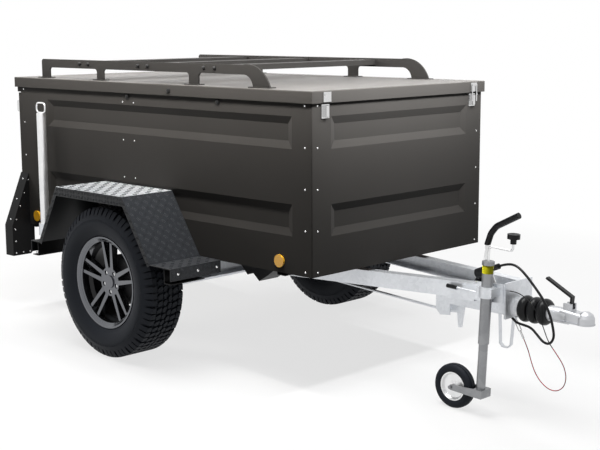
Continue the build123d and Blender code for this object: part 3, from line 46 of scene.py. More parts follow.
# Load box. Four folded steel panels with pressed grooves, riveted at the corners and coated in a
# fine-textured anthracite powder; the lid, the tailgate and the header above it have the same coat.
# The floor is a brown board laid between the walls.
def grain_group():
    """Shader group: fine grain for bump and a broad drift for tone, both on object coordinates."""
    group = bpy.data.node_groups.new("surface_grain", "ShaderNodeTree")
    for name in ("Fine Scale", "Broad Scale"):
        group.interface.new_socket(name=name, in_out="INPUT", socket_type="NodeSocketFloat")
    for name in ("Fine", "Broad"):
        group.interface.new_socket(name=name, in_out="OUTPUT", socket_type="NodeSocketFloat")
    put, link = group.nodes.new, group.links.new
    source, out = put("NodeGroupInput"), put("NodeGroupOutput")
    where = put("ShaderNodeTexCoord")
    for scale, output, detail in (("Fine Scale", "Fine", 2.0), ("Broad Scale", "Broad", 5.0)):
        noise = put("ShaderNodeTexNoise")
        noise.inputs["Detail"].default_value = detail
        link(where.outputs["Object"], noise.inputs["Vector"])
        link(source.outputs[scale], noise.inputs["Scale"])
        link(noise.outputs["Fac"], out.inputs[output])
    return group


SURFACE_GRAIN = grain_group()
GRAIN_DEPTH = 0.0004


def drift_tones(tree, drift, low, high, rough):
    """Lets a value that changes over the surface run tone and roughness between their two ends."""
    shader = tree.nodes["Principled BSDF"]
    tone, spread = tree.nodes.new("ShaderNodeMix"), tree.nodes.new("ShaderNodeMapRange")
    tone.data_type = "RGBA"
    tone.inputs["A"].default_value, tone.inputs["B"].default_value = (*low, 1), (*high, 1)
    spread.inputs["To Min"].default_value, spread.inputs["To Max"].default_value = rough
    tree.links.new(drift, tone.inputs["Factor"])
    tree.links.new(drift, spread.inputs["Value"])
    tree.links.new(tone.outputs["Result"], shader.inputs["Base Color"])
    tree.links.new(spread.outputs["Result"], shader.inputs["Roughness"])
    return shader


def finish(name, low, high, rough, fine=900.0, bump=0.1, broad=3.0, metal=0.0, coat=0.0, gloss=0.5,
           sheen=0.0):
    """A material whose tone and roughness drift between two values over a fine grain."""
    made = bpy.data.materials.new(name)
    made.use_nodes = True
    tree = made.node_tree
    grain = tree.nodes.new("ShaderNodeGroup")
    grain.node_tree = SURFACE_GRAIN
    grain.inputs["Fine Scale"].default_value = fine
    grain.inputs["Broad Scale"].default_value = broad
    shader = drift_tones(tree, grain.outputs["Broad"], low, high, rough)
    relief = tree.nodes.new("ShaderNodeBump")
    relief.inputs["Strength"].default_value = bump
    relief.inputs["Distance"].default_value = GRAIN_DEPTH
    tree.links.new(grain.outputs["Fine"], relief.inputs["Height"])
    tree.links.new(relief.outputs["Normal"], shader.inputs["Normal"])
    for socket, value in (("Metallic", metal), ("Coat Weight", coat), ("Coat Roughness", 0.12),
                          ("Specular IOR Level", gloss), ("Sheen Weight", sheen), ("Sheen Roughness", 0.25)):
        shader.inputs[socket].default_value = value
    return made


def dress(material, *names):
    """Gives CAD nodes their material."""
    for name in names:
        nodes[name].data.materials.clear()
        nodes[name].data.materials.append(material)


powder_coat = finish("powder_coat", (0.0290, 0.0275, 0.0260), (0.0350, 0.0332, 0.0314), (0.46, 0.54),
                     bump=0.1, gloss=0.05, sheen=0.06)
dress(powder_coat, "wall_right", "wall_left", "wall_front", "rear_header", "tailgate_panel", "lid_panel")
floor_board = finish("floor_board", (0.05, 0.03, 0.018), (0.08, 0.05, 0.03), (0.55, 0.7), fine=160, bump=0.2)
dress(floor_board, "floor_panel")

# Rivets. Bright aluminium blind rivets hold the walls' corner flanges, the stiffener inside each side wall
# and the lamp carriers; bigger bolts with domed heads hold each fender's front flange.
bright_rivet = finish("bright_rivet", (0.75, 0.75, 0.75), (0.85, 0.85, 0.85), (0.2, 0.3), bump=0.02,
                      metal=1.0)

# Pieces are drawn on the level trailer, in metres from the front wall's face, and then pitched nose up about
# the axle, as the trailer stands on its winding jack.
AXLE = Vector(next(joint["pos_m"] for joint in frame["joints"] if joint["name"] == "wheel_right_spin"))
AXLE_BACK, HALF_TRACK = 1.139, -AXLE.y
NOSE_UP = radians(2.7)
STANCE = (Matrix.Translation((AXLE.x, 0, AXLE.z)) @ Matrix.Rotation(-NOSE_UP, 4, "Y")
          @ Matrix.Translation((AXLE_BACK, 0, -AXLE.z)))


def piece(name, mesh_data, material, body, smooth=30):
    """Turns a bmesh on the level trailer into a piece that rides on a body."""
    bmesh.ops.transform(mesh_data, matrix=STANCE, verts=mesh_data.verts)
    mesh = bpy.data.meshes.new(name)
    mesh_data.to_mesh(mesh)
    mesh_data.free()
    mesh.materials.append(material)
    if smooth:
        mesh.shade_smooth()
        mesh.set_sharp_from_angle(angle=radians(smooth))
    made = bpy.data.objects.new(name, mesh)
    bpy.context.scene.collection.objects.link(made)
    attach(made, body)
    return made


def dome_heads(mesh_data, places, normal, radius, height):
    """Adds one low domed head per place, standing on a face with that normal."""
    turn = Vector((0, 0, 1)).rotation_difference(Vector(normal)).to_matrix().to_4x4()
    for place in places:
        head = bmesh.ops.create_uvsphere(mesh_data, u_segments=10, v_segments=6, radius=radius)["verts"]
        bmesh.ops.delete(mesh_data, geom=[v for v in head if v.co.z < -1e-6], context="VERTS")
        kept = [v for v in head if v.is_valid]
        bmesh.ops.scale(mesh_data, vec=(1, 1, height / radius), verts=kept)
        bmesh.ops.transform(mesh_data, matrix=Matrix.Translation(place) @ turn, verts=kept)


RIVET, FLANGE_BOLT = (0.0042, 0.0016), (0.0070, 0.0045)  # radius and height of a head
WALL_Y = 0.6025
FRONT_WALL_COLUMN = 0.566
CORNER_COLUMNS = (-0.041, -2.175)
CORNER_ROWS = (1.253, 1.074, 0.894, 0.713, 0.532)
STIFFENER_COLUMNS = (-1.300, -1.212)
STIFFENER_ROWS = (1.218, 1.031, 0.845)
CARRIER_FACE = -2.160
CARRIER_EDGE, CARRIER_ROWS = 0.700, (0.490, 0.425, 0.360)
CARRIER_FOOT, CARRIER_FOOT_COLUMNS = 0.360, (0.655, 0.612)
SLOPE_OUT, SLOPE_DOWN = 0.1165, 0.283  # how far the carrier's slanting edge runs
SLOPE_NORMAL = (0.925, 0.381)
FACE_SLOPE_START, EDGE_SLOPE_START = (0.598, 0.772), (WALL_Y, 0.795)
EDGE_MIDDLE = -2.197
FENDER_FRONT = -0.590
FLANGE_HEIGHT, FLANGE_COLUMNS = 0.487, (0.627, 0.742, 0.860)


def along_slope(start, shares):
    """Places (y, z) at some shares of the way down the lamp carrier's slanting edge."""
    return [(start[0] + SLOPE_OUT * share, start[1] - SLOPE_DOWN * share) for share in shares]


rivets = bmesh.new()
for side in (1, -1):
    places = [(x, side * WALL_Y, z) for x in CORNER_COLUMNS for z in CORNER_ROWS]
    places += [(x, side * WALL_Y, z) for x in STIFFENER_COLUMNS for z in STIFFENER_ROWS]
    dome_heads(rivets, places, (0, side, 0), *RIVET)
    dome_heads(rivets, [(0, side * FRONT_WALL_COLUMN, z) for z in CORNER_ROWS], (1, 0, 0), *RIVET)
    plate = [(CARRIER_EDGE, z) for z in CARRIER_ROWS] + [(y, CARRIER_FOOT) for y in CARRIER_FOOT_COLUMNS]
    plate += along_slope(FACE_SLOPE_START, (0.05, 0.3, 0.55, 0.8))
    dome_heads(rivets, [(CARRIER_FACE, side * y, z) for y, z in plate], (1, 0, 0), *RIVET)
    slope = [(EDGE_MIDDLE, side * y, z) for y, z in along_slope(EDGE_SLOPE_START, (0.12, 0.5, 0.88))]
    dome_heads(rivets, slope, (0, side * SLOPE_NORMAL[0], SLOPE_NORMAL[1]), *RIVET)
    flange = [(FENDER_FRONT, side * y, FLANGE_HEIGHT) for y in FLANGE_COLUMNS]
    dome_heads(rivets, flange, (1, 0, 0), *FLANGE_BOLT)
piece("wall_rivets", rivets, bright_rivet, "chassis")


# Under-frame, axle and drawbar. Folded and welded steel, hot-dip galvanised as one, so it is pale and
# bright with a faint spangle; the overrun's tube, the levers and the prop stands are zinc plated, and the
# jack's tubes are plated and dull.
def spangle_group():
    """Shader group: the crystal pattern of hot-dip zinc as a tone that changes over the surface."""
    group = bpy.data.node_groups.new("zinc_spangle", "ShaderNodeTree")
    group.interface.new_socket(name="Scale", in_out="INPUT", socket_type="NodeSocketFloat")
    group.interface.new_socket(name="Tone", in_out="OUTPUT", socket_type="NodeSocketFloat")
    put, link = group.nodes.new, group.links.new
    source, out = put("NodeGroupInput"), put("NodeGroupOutput")
    where, cells, drift = put("ShaderNodeTexCoord"), put("ShaderNodeTexVoronoi"), put("ShaderNodeTexNoise")
    part, faint, mix = put("ShaderNodeSeparateColor"), put("ShaderNodeMath"), put("ShaderNodeMath")
    faint.operation, mix.operation = "MULTIPLY", "ADD"
    faint.inputs[1].default_value = 0.35
    drift.inputs["Scale"].default_value = 7.0
    drift.inputs["Detail"].default_value = 6.0
    link(where.outputs["Object"], cells.inputs["Vector"])
    link(where.outputs["Object"], drift.inputs["Vector"])
    link(source.outputs["Scale"], cells.inputs["Scale"])
    link(cells.outputs["Color"], part.inputs["Color"])
    link(part.outputs["Red"], faint.inputs[0])
    link(faint.outputs[0], mix.inputs[0])
    link(drift.outputs["Fac"], mix.inputs[1])
    link(mix.outputs[0], out.inputs["Tone"])
    return group


ZINC_SPANGLE = spangle_group()
ZINC_METAL = 0.85


def zinc(name, low, high, rough, scale):
    """A zinc coat whose tone and roughness follow the spangle."""
    made = bpy.data.materials.new(name)
    made.use_nodes = True
    tree = made.node_tree
    cells = tree.nodes.new("ShaderNodeGroup")
    cells.node_tree = ZINC_SPANGLE
    cells.inputs["Scale"].default_value = scale
    drift_tones(tree, cells.outputs["Tone"], low, high, rough).inputs["Metallic"].default_value = ZINC_METAL
    return made


HOT_DIP_COAT = ((0.57, 0.59, 0.62), (0.79, 0.81, 0.84), (0.30, 0.48), 70.0)
hot_dip = zinc("hot_dip_zinc", *HOT_DIP_COAT)
plated = zinc("plated_zinc", (0.74, 0.75, 0.76), (0.90, 0.90, 0.90), (0.26, 0.36), 40.0)
jack_zinc = zinc("jack_zinc", (0.20, 0.205, 0.215), (0.34, 0.345, 0.355), (0.28, 0.42), 30.0)
dress(hot_dip, "drawbar_right", "drawbar_left", "drawbar_head", "axle_beam", "overrun_housing",
      "guard_strap", "prop_clamps", "jack_clamp", "brake_linkage")
dress(plated, "handbrake_lever", "jack_crank", "draw_tube", "prop_right", "prop_left", "jack_rim")
dress(jack_zinc, "jack_tube", "jack_leg", "jack_fork")


# Outriggers. Folded arms that carry the box and the fenders, galvanised with the frame; their outer ends
# under the fenders are coloured near-black as painted shade, for the shade the fenders throw on them.
def paint_past(material, axis, limit, colour):
    """Paints a material dark and matt wherever it lies further than a limit from the middle along an axis."""
    tree = material.node_tree
    shader = tree.nodes["Principled BSDF"]
    spot, parts, size, past, tone, metal = (tree.nodes.new(kind) for kind in (
        "ShaderNodeTexCoord", "ShaderNodeSeparateXYZ", "ShaderNodeMath", "ShaderNodeMath", "ShaderNodeMix",
        "ShaderNodeMapRange"))
    size.operation, past.operation = "ABSOLUTE", "GREATER_THAN"
    past.inputs[1].default_value = limit
    tone.data_type = "RGBA"
    tone.inputs["B"].default_value = (*colour, 1)
    metal.inputs["To Min"].default_value = shader.inputs["Metallic"].default_value
    metal.inputs["To Max"].default_value = 0.0
    link = tree.links.new
    link(spot.outputs["Object"], parts.inputs["Vector"])
    link(parts.outputs[axis], size.inputs[0])
    link(size.outputs[0], past.inputs[0])
    link(past.outputs[0], tone.inputs["Factor"])
    link(past.outputs[0], metal.inputs["Value"])
    link(shader.inputs["Base Color"].links[0].from_socket, tone.inputs["A"])
    link(tone.outputs["Result"], shader.inputs["Base Color"])
    link(metal.outputs["Result"], shader.inputs["Metallic"])
    shader.inputs["Specular IOR Level"].default_value = 0.15


# Painted shade: the zinc past this reach, under the fenders, is coloured near-black.
OUTRIGGER_SHADE_FROM = 0.70
outrigger_zinc = zinc("outrigger_zinc", *HOT_DIP_COAT)
paint_past(outrigger_zinc, "Y", OUTRIGGER_SHADE_FROM, (0.008, 0.008, 0.0085))
dress(outrigger_zinc, "outriggers")

# Cross members and lamp carriers. Folded steel sheet, painted black, bolted under the floor and riveted
# behind the rear corners.
black_steel = finish("black_steel", (0.006, 0.006, 0.0065), (0.010, 0.010, 0.0105), (0.38, 0.5), gloss=0.1)
dress(black_steel, "cross_members", "lamp_carriers")

# Castings. The coupling head is cast and zinc coated, with a fine sand texture; the brake drums and the
# axle's swing arms are dark iron.
cast_iron = finish("coated_casting", (0.48, 0.49, 0.51), (0.64, 0.65, 0.67), (0.32, 0.46), fine=500,
                   bump=0.25, metal=0.9)
dress(cast_iron, "coupling_head")
drum_iron = finish("drum_iron", (0.012, 0.012, 0.013), (0.024, 0.024, 0.026), (0.5, 0.65), fine=400,
                   bump=0.25, metal=0.3)
dress(drum_iron, "drum_right", "drum_left", "swing_arms")


# Road wheels. Cast alloy rims in gunmetal paint, their barrel behind the spokes darkened as painted shade,
# five bright nuts, and moulded all-terrain tyres: shoulder lugs that wrap on to the sidewall, two rows of
# blocks on each half of the tread and fine ribs below the lugs.
def dress_where(material, name, chosen):
    """Gives the faces of a CAD node that lie in a chosen place of the level trailer another material."""
    mesh = nodes[name].data
    mesh.materials.append(material)
    level_frame = STANCE.inverted()
    for polygon in mesh.polygons:
        if chosen(level_frame @ polygon.center):
            polygon.material_index = len(mesh.materials) - 1


SPOKE_FACE, HUB_REACH = 0.815, 0.072  # the spokes' depth from the trailer's middle, the hub's radius


def in_barrel(place):
    """Whether a place on a rim lies behind the spokes and outside the hub."""
    return abs(place.y) < SPOKE_FACE and hypot(place.x + AXLE_BACK, place.z - AXLE.z) > HUB_REACH


gunmetal = finish("gunmetal_paint", (0.115, 0.119, 0.130), (0.155, 0.160, 0.174), (0.14, 0.20), fine=2500,
                  bump=0.03, metal=0.95, coat=0.3)
# Painted shade: the barrel behind the spokes gets a near-black copy of the rim's paint, for the shade inside
# the wheel.
painted_shade_barrel = finish("painted_shade_barrel", (0.016, 0.0165, 0.018), (0.024, 0.0245, 0.027), (0.25, 0.35), fine=2500,
                     bump=0.03, gloss=0.3)
dress(gunmetal, "rim_right", "rim_left")
# Paints that shade on to each rim's barrel faces.
for word in ("right", "left"):
    dress_where(painted_shade_barrel, f"rim_{word}", in_barrel)
tyre_rubber = finish("tyre_rubber", (0.0110, 0.0132, 0.0180), (0.0165, 0.0195, 0.0262), (0.55, 0.70),
                     fine=600, bump=0.2, broad=12, gloss=0.2, sheen=0.12)
dress(tyre_rubber, "tyre_right", "tyre_left", "jack_tyre")

TREAD_FACE, TREAD_FLOOR = 0.3667, 0.3560
BLOCK_ROOT, BLOCK_TAPER = 0.003, 0.93
SHOULDER_NOTCHES, NOTCH_MIDDLE, NOTCH_WIDTH = 22, 0.015, 0.013
LUG_GAP, LUG_REACHES = 0.007, (1.0, 0.0, 0.6)
RIBS, RIB_LENGTH = 6, 0.009
RIB_SECTION = ((0.1155, 0.2990), (0.11945, 0.2990), (0.1186, 0.3085), (0.1155, 0.3085))
OUTER_BLOCK = ((-0.0155, 0.031), (0.002, 0.0275), (0.011, 0.036), (0.0155, 0.058), (-0.002, 0.0615),
               (-0.0105, 0.049))
INNER_BLOCK = ((-0.0150, 0.002), (0.003, 0.0025), (0.0150, 0.011), (0.0135, 0.0235), (-0.005, 0.0275),
               (-0.0155, 0.015))
# Half of the carcass, as (across, radius) points from the bead to the tread and back inside.
CARCASS_OUTSIDE = (
    (0.086, 0.206), (0.087, 0.2265), (0.093, 0.2285), (0.098, 0.234), (0.099, 0.2375), (0.1045, 0.245),
    (0.1130, 0.262), (0.1180, 0.282), (0.1188, 0.298), (0.1170, 0.3095), (0.1178, 0.3110), (0.1145, 0.3180),
    (0.1090, 0.3300), (0.098, 0.3395), (0.084, 0.3465), (0.060, TREAD_FLOOR))
CARCASS_INSIDE = ((0.060, 0.3436), (0.1, 0.3), (0.094, 0.25), (0.072, 0.228), (0.072, 0.206))


def spun_ring(section, axis, steps):
    """A closed ring: a section of (along, radius) points spun round an axis, X or Y."""
    made = bmesh.new()
    ring = [made.verts.new((along, 0, r) if axis.x else (0, along, r)) for along, r in section]
    edges = [made.edges.new(pair) for pair in zip(ring, ring[1:] + ring[:1])]
    bmesh.ops.spin(made, geom=ring + edges, cent=(0, 0, 0), axis=axis, dvec=(0, 0, 0), angle=2 * pi,
                   steps=steps, use_merge=True)
    bmesh.ops.recalc_face_normals(made, faces=made.faces)
    return made


def drawn_out(mesh_data, corners, move):
    """Lays a face through its corners, draws it out by a move and gives back the moved corners."""
    face = mesh_data.faces.new([mesh_data.verts.new(corner) for corner in corners])
    grown = bmesh.ops.extrude_face_region(mesh_data, geom=[face])["geom"]
    moved = [item for item in grown if isinstance(item, bmesh.types.BMVert)]
    bmesh.ops.translate(mesh_data, vec=move, verts=moved)
    return moved


def tread_block(mesh_data, outline):
    """One tread block at the top of the wheel, raised from an outline of (around, across) points."""
    root = TREAD_FLOOR - BLOCK_ROOT
    crown = drawn_out(mesh_data, [(around, across, root) for around, across in outline],
                      (0, 0, TREAD_FACE - root))
    middle = sum((v.co for v in crown), Vector()) / len(crown)
    bmesh.ops.scale(mesh_data, vec=(BLOCK_TAPER, BLOCK_TAPER, 1), space=Matrix.Translation(-middle),
                    verts=crown)


def shoulder_lug(mesh_data, start, length, side, reach):
    """A lug that wraps from the tread's edge down on to the sidewall, furthest at a reach of 1."""
    short = 1 - reach
    section = ((0.064, 0.352), (0.064, TREAD_FACE), (0.0895, TREAD_FACE), (0.1015, 0.3494),
               (0.1130 - 0.0030 * short, 0.3215 + 0.008 * short), (0.1060, 0.3210), (0.090, 0.343))
    drawn_out(mesh_data, [(start, side * across, radius) for across, radius in section], (length, 0, 0))


def sidewall_rib(mesh_data, start, side):
    """A fine rib on the sidewall below the shoulder lugs."""
    section = [(start, side * across, radius) for across, radius in RIB_SECTION]
    drawn_out(mesh_data, section, (RIB_LENGTH, 0, 0))


def all_terrain_tyre():
    """Carcass spun from its section, and one stretch of tread repeated round it; +Y is outwards."""
    section = [*CARCASS_OUTSIDE, *((-across, radius) for across, radius in CARCASS_OUTSIDE[::-1])]
    section += [*((-across, radius) for across, radius in CARCASS_INSIDE[::-1]), *CARCASS_INSIDE]
    made = spun_ring(section, Vector((0, 1, 0)), steps=132)
    blocks = bmesh.new()
    stretch = 2 * pi * TREAD_FACE / SHOULDER_NOTCHES
    lugs = len(LUG_REACHES)
    lug = (stretch - NOTCH_WIDTH - (lugs - 1) * LUG_GAP) / lugs
    for side in (1, -1):
        shift = NOTCH_MIDDLE + NOTCH_WIDTH / 2 + (0 if side > 0 else stretch / 2)
        for place, reach in enumerate(LUG_REACHES):
            shoulder_lug(blocks, shift + place * (lug + LUG_GAP), lug, side, reach)
            middle = shift + (place + 0.5) * stretch / lugs
            for outline in (OUTER_BLOCK, INNER_BLOCK):
                tread_block(blocks, [(side * around + middle, side * across) for around, across in outline])
        for rib in range(RIBS):
            sidewall_rib(blocks, shift + rib * stretch / RIBS, side)
    bmesh.ops.recalc_face_normals(blocks, faces=blocks.faces)
    for vert in blocks.verts:
        angle, radius = vert.co.x / TREAD_FACE, vert.co.z
        vert.co.x, vert.co.z = radius * sin(angle), radius * cos(angle)
    others = SHOULDER_NOTCHES - 1
    bmesh.ops.spin(blocks, geom=blocks.verts[:] + blocks.edges[:] + blocks.faces[:], cent=(0, 0, 0),
                   axis=(0, 1, 0), dvec=(0, 0, 0), angle=2 * pi * others / SHOULDER_NOTCHES, steps=others,
                   use_duplicate=True)
    joined = bpy.data.meshes.new("tread")
    blocks.to_mesh(joined)
    blocks.free()
    made.from_mesh(joined)
    bpy.data.meshes.remove(joined)
    return made


NUTS, NUT_CIRCLE, NUT_SEAT = 5, 0.050, 0.0505
for side, word in ((1, "left"), (-1, "right")):
    tyre = all_terrain_tyre()
    if side < 0:
        bmesh.ops.scale(tyre, vec=(1, -1, 1), verts=tyre.verts)
        bmesh.ops.reverse_faces(tyre, faces=tyre.faces)
    bmesh.ops.translate(tyre, vec=(-AXLE_BACK, side * HALF_TRACK, AXLE.z), verts=tyre.verts)
    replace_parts(piece(f"road_tyre_{word}", tyre, tyre_rubber, f"wheel_{word}", smooth=35),
                f"tyre_{word}")
    nuts = bmesh.new()
    for turn in range(NUTS):
        angle = 2 * pi * (turn + 0.5) / NUTS
        seat = Matrix.Translation((-AXLE_BACK + NUT_CIRCLE * sin(angle), side * (HALF_TRACK + NUT_SEAT),
                                   AXLE.z + NUT_CIRCLE * cos(angle)))
        bmesh.ops.create_cone(nuts, cap_ends=True, segments=6, radius1=0.0098, radius2=0.0086, depth=0.012,
                              matrix=seat @ Matrix.Rotation(-side * pi / 2, 4, "X"))
    piece(f"wheel_nuts_{word}", nuts, bright_rivet, f"wheel_{word}")

# Fenders. Coated aluminium tread plate, folded to flats over the wheel with a turned-down skirt; its top flat
# is painted pale, a painted reflection of the bright room seen at a grazing angle. The plate's raised bars
# stand in groups of five, turned a quarter from cell to cell.
tread_coat = finish("tread_plate_coat", (0.020, 0.022, 0.025), (0.028, 0.030, 0.034), (0.30, 0.40), bump=0.06,
                    gloss=0.25, sheen=1.0)
# Painted highlight: the raised bars take a lighter copy of the plate's coat, standing in for the light they
# catch.
bar_highlight_coat = finish("tread_bar_coat", (0.036, 0.039, 0.044), (0.046, 0.049, 0.055), (0.26, 0.34), bump=0.04,
                  gloss=0.3, sheen=0.3)
# Painted reflection: a pale coat for the top flat, standing in for the bright room it mirrors at a grazing
# view.
sheen_painted_plate = finish("painted_sheen_tread_plate", (0.50, 0.52, 0.54), (0.62, 0.64, 0.66), (0.30, 0.40), fine=500,
                    bump=0.08, sheen=0.5)
dress(tread_coat, "fender_right", "fender_left")
BARS_EACH_WAY, BAR_HEIGHT = 2, 0.0022
BAR_LENGTH, BAR_SHORTER, BAR_WIDTH, BAR_SPACING = 0.68, 0.04, 0.09, 0.17  # as shares of a cell


def bar_group(cell):
    """The five raised bars of one cell of the plate, as a small mesh lying flat."""
    made = bmesh.new()
    for bar in range(-BARS_EACH_WAY, BARS_EACH_WAY + 1):
        length = (BAR_LENGTH - BAR_SHORTER * abs(bar)) * cell
        size = Matrix.Diagonal((length, BAR_WIDTH * cell, BAR_HEIGHT, 1))
        bmesh.ops.create_cone(made, cap_ends=True, segments=4, radius1=0.7, radius2=0.45, depth=1,
                              matrix=Matrix.Translation((0, bar * BAR_SPACING * cell, 0)) @ size
                              @ Matrix.Rotation(pi / 4, 4, "Z"))
    group = bpy.data.meshes.new("bar_group")
    made.to_mesh(group)
    made.free()
    return group


def tread_field(mesh_data, corner, along, across, length, width, cell):
    """Covers one flat of the plate with groups of bars, from a corner along and across the flat."""
    along, across = along.normalized(), across.normalized()
    columns, rows = max(1, round(length / cell)), max(1, round(width / cell))
    flat_frame = Matrix((along, across, along.cross(across))).transposed().to_4x4()
    group = bar_group(cell)
    for column in range(columns):
        for row in range(rows):
            middle = (corner + along * length * (column + 0.5) / columns
                      + across * width * (row + 0.5) / rows)
            turned = Matrix.Rotation(radians(45 if (column + row) % 2 else -45), 4, "Z")
            placed = group.copy()
            placed.transform(Matrix.Translation(middle) @ flat_frame @ turned)
            mesh_data.from_mesh(placed)
            bpy.data.meshes.remove(placed)
    bpy.data.meshes.remove(group)


FENDER_TOP, FENDER_STEP, FENDER_FOOT, FENDER_OUTER = 0.810, 0.515, 0.457, 0.905
FENDER_LINE = ((FENDER_FRONT, FENDER_FOOT), (FENDER_FRONT, FENDER_STEP), (-0.735, FENDER_STEP),
               (-0.932, FENDER_TOP), (-1.460, FENDER_TOP), (-1.625, FENDER_STEP), (-1.695, FENDER_STEP),
               (-1.695, FENDER_FOOT))
TOP_FLAT, TOP_CELL, FLAT_CELL, SKIRT_CELL = 3, 0.036, 0.026, 0.0225
FOLD_MARGIN, SIDE_MARGIN, TOP_SKIN = 0.003, 0.002, 0.0005
SKIRT_FLATS, SKIRT_DEPTHS = slice(2, 5), (0.022, 0.045, 0.022)
FOLD_POINTS = [Vector((x, 0, z)) for x, z in FENDER_LINE]
FLATS = list(zip(FOLD_POINTS, FOLD_POINTS[1:]))
for side, word in ((1, "left"), (-1, "right")):
    # Gives the top flat's faces the pale painted reflection.
    dress_where(sheen_painted_plate, f"fender_{word}", lambda place: place.z > FENDER_TOP - TOP_SKIN)
    bars = bmesh.new()
    for flat, (start, end) in enumerate(FLATS):
        run = end - start
        inner = Vector((0, (WALL_Y if side > 0 else -FENDER_OUTER) + SIDE_MARGIN, 0))
        tread_field(bars, start + run.normalized() * FOLD_MARGIN + inner, run, Vector((0, 1, 0)),
                    run.length - 2 * FOLD_MARGIN, FENDER_OUTER - WALL_Y - 2 * SIDE_MARGIN,
                    TOP_CELL if flat == TOP_FLAT else FLAT_CELL)
    for (start, end), deep in zip(FLATS[SKIRT_FLATS], SKIRT_DEPTHS):
        run = end - start
        down = Vector((-run.z, 0, run.x)).normalized()
        edge = start + Vector((0, side * FENDER_OUTER, 0))
        if side > 0:
            tread_field(bars, edge + down * deep, run, -down, run.length, deep, SKIRT_CELL)
        else:
            tread_field(bars, edge, run, down, run.length, deep, SKIRT_CELL)
    # The bars carry the lighter painted-highlight coat.
    piece(f"tread_bars_{word}", bars, bar_highlight_coat, "chassis", smooth=0)

# Roof rack and buttons. Plate-cut rails and flat bars in a darker coat, bolted through the rails' feet with
# dome-headed bolts; black buttons of the same make stand on the lid's skirt and on the walls.
rack_coat = finish("rack_coat", (0.0115, 0.0110, 0.0105), (0.0150, 0.0143, 0.0136), (0.44, 0.52), gloss=0.08)
dress(rack_coat, "rack_rails", "rack_bars")
button_black = finish("button_black", (0.004, 0.004, 0.004), (0.006, 0.006, 0.006), (0.3, 0.4), bump=0.05,
                      gloss=0.3)
RACK_BOLT, BUTTON = (0.0105, 0.0110), (0.0125, 0.011)  # radius and height of a head
RACK_FEET, BOLT_OFFSET = (-1.671, -1.184, -0.695), 0.037
RAIL_FACE, BOLT_Z = 0.561, 1.397
LID_SKIRT_FACE, LID_BUTTON_X, LID_BUTTON_Z = 0.6145, -0.928, 1.287
WALL_BUTTONS, WALL_BUTTON_Z = (-1.258, -0.591), 1.247
heads, hooks = bmesh.new(), bmesh.new()
for side in (1, -1):
    places = [(x + dx, side * RAIL_FACE, BOLT_Z) for x in RACK_FEET for dx in (-BOLT_OFFSET, BOLT_OFFSET)]
    dome_heads(heads, places, (0, side, 0), *RACK_BOLT)
    dome_heads(heads, [(LID_BUTTON_X, side * LID_SKIRT_FACE, LID_BUTTON_Z)], (0, side, 0), *BUTTON)
    dome_heads(hooks, [(x, side * WALL_Y, WALL_BUTTON_Z) for x in WALL_BUTTONS], (0, side, 0), *BUTTON)
piece("rack_bolts", heads, button_black, "lid")
piece("wall_buttons", hooks, button_black, "chassis")

# Latches, hinges and snap hook. Pressed and bent from bright steel, riveted to the lid, the walls and the
# tailgate.
bright_steel = finish("bright_steel", (0.62, 0.62, 0.62), (0.78, 0.78, 0.78), (0.18, 0.3), fine=300,
                      bump=0.05, metal=1.0)
dress(bright_steel, "lid_latches", "latch_bails", "tailgate_latches", "lid_hinges", "lid_hinge_leaves",
      "tailgate_hinges", "tailgate_straps", "breakaway_hook")

# Rubber and plastic. The hand brake's grip, the coupling lever, the jack's knob and clamp grip are moulded
# rubber pushed over steel; the wheel chocks, the plug and its park holder are hard black plastic.
soft_rubber = finish("soft_rubber", (0.0045, 0.0047, 0.0055), (0.0075, 0.0078, 0.0088), (0.25, 0.34),
                     fine=500, bump=0.05, gloss=0.22)
dress(soft_rubber, "bellows", "handbrake_grip", "coupling_lever", "jack_knob", "power_cable")
CLAMP_GRIP_END = 0.450
dress_where(soft_rubber, "jack_clamp", lambda place: place.x < CLAMP_GRIP_END)
hard_plastic = finish("hard_plastic", (0.006, 0.006, 0.007), (0.011, 0.011, 0.012), (0.35, 0.48), fine=700,
                      gloss=0.2)
dress(hard_plastic, "wheel_chocks", "plug", "plug_holder")

# Bellows. Moulded rubber with three round folds, clamped over the draw tube between the housing and the
# coupling head.
BELLOWS_START, BELLOWS_LENGTH, DRAW_HEIGHT = 0.673, 0.139, 0.388
FOLDS, FOLD_STEPS, FOLD_POWER = 3, 16, 0.6  # a power below 1 makes the folds round and the valleys sharp
BORE, VALLEY, PEAK = 0.0256, 0.0412, 0.0578
folds = [((step / FOLD_STEPS) * BELLOWS_LENGTH / FOLDS,
          VALLEY + (PEAK - VALLEY) * abs(sin(pi * step / FOLD_STEPS)) ** FOLD_POWER)
         for step in range(FOLD_STEPS * FOLDS + 1)]
bellows = spun_ring([(0.0, BORE), *folds, (BELLOWS_LENGTH, BORE)], Vector((1, 0, 0)), steps=72)
bmesh.ops.translate(bellows, vec=(BELLOWS_START, 0, DRAW_HEIGHT), verts=bellows.verts)
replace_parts(piece("fold_bellows", bellows, soft_rubber, "chassis", smooth=50), "bellows")

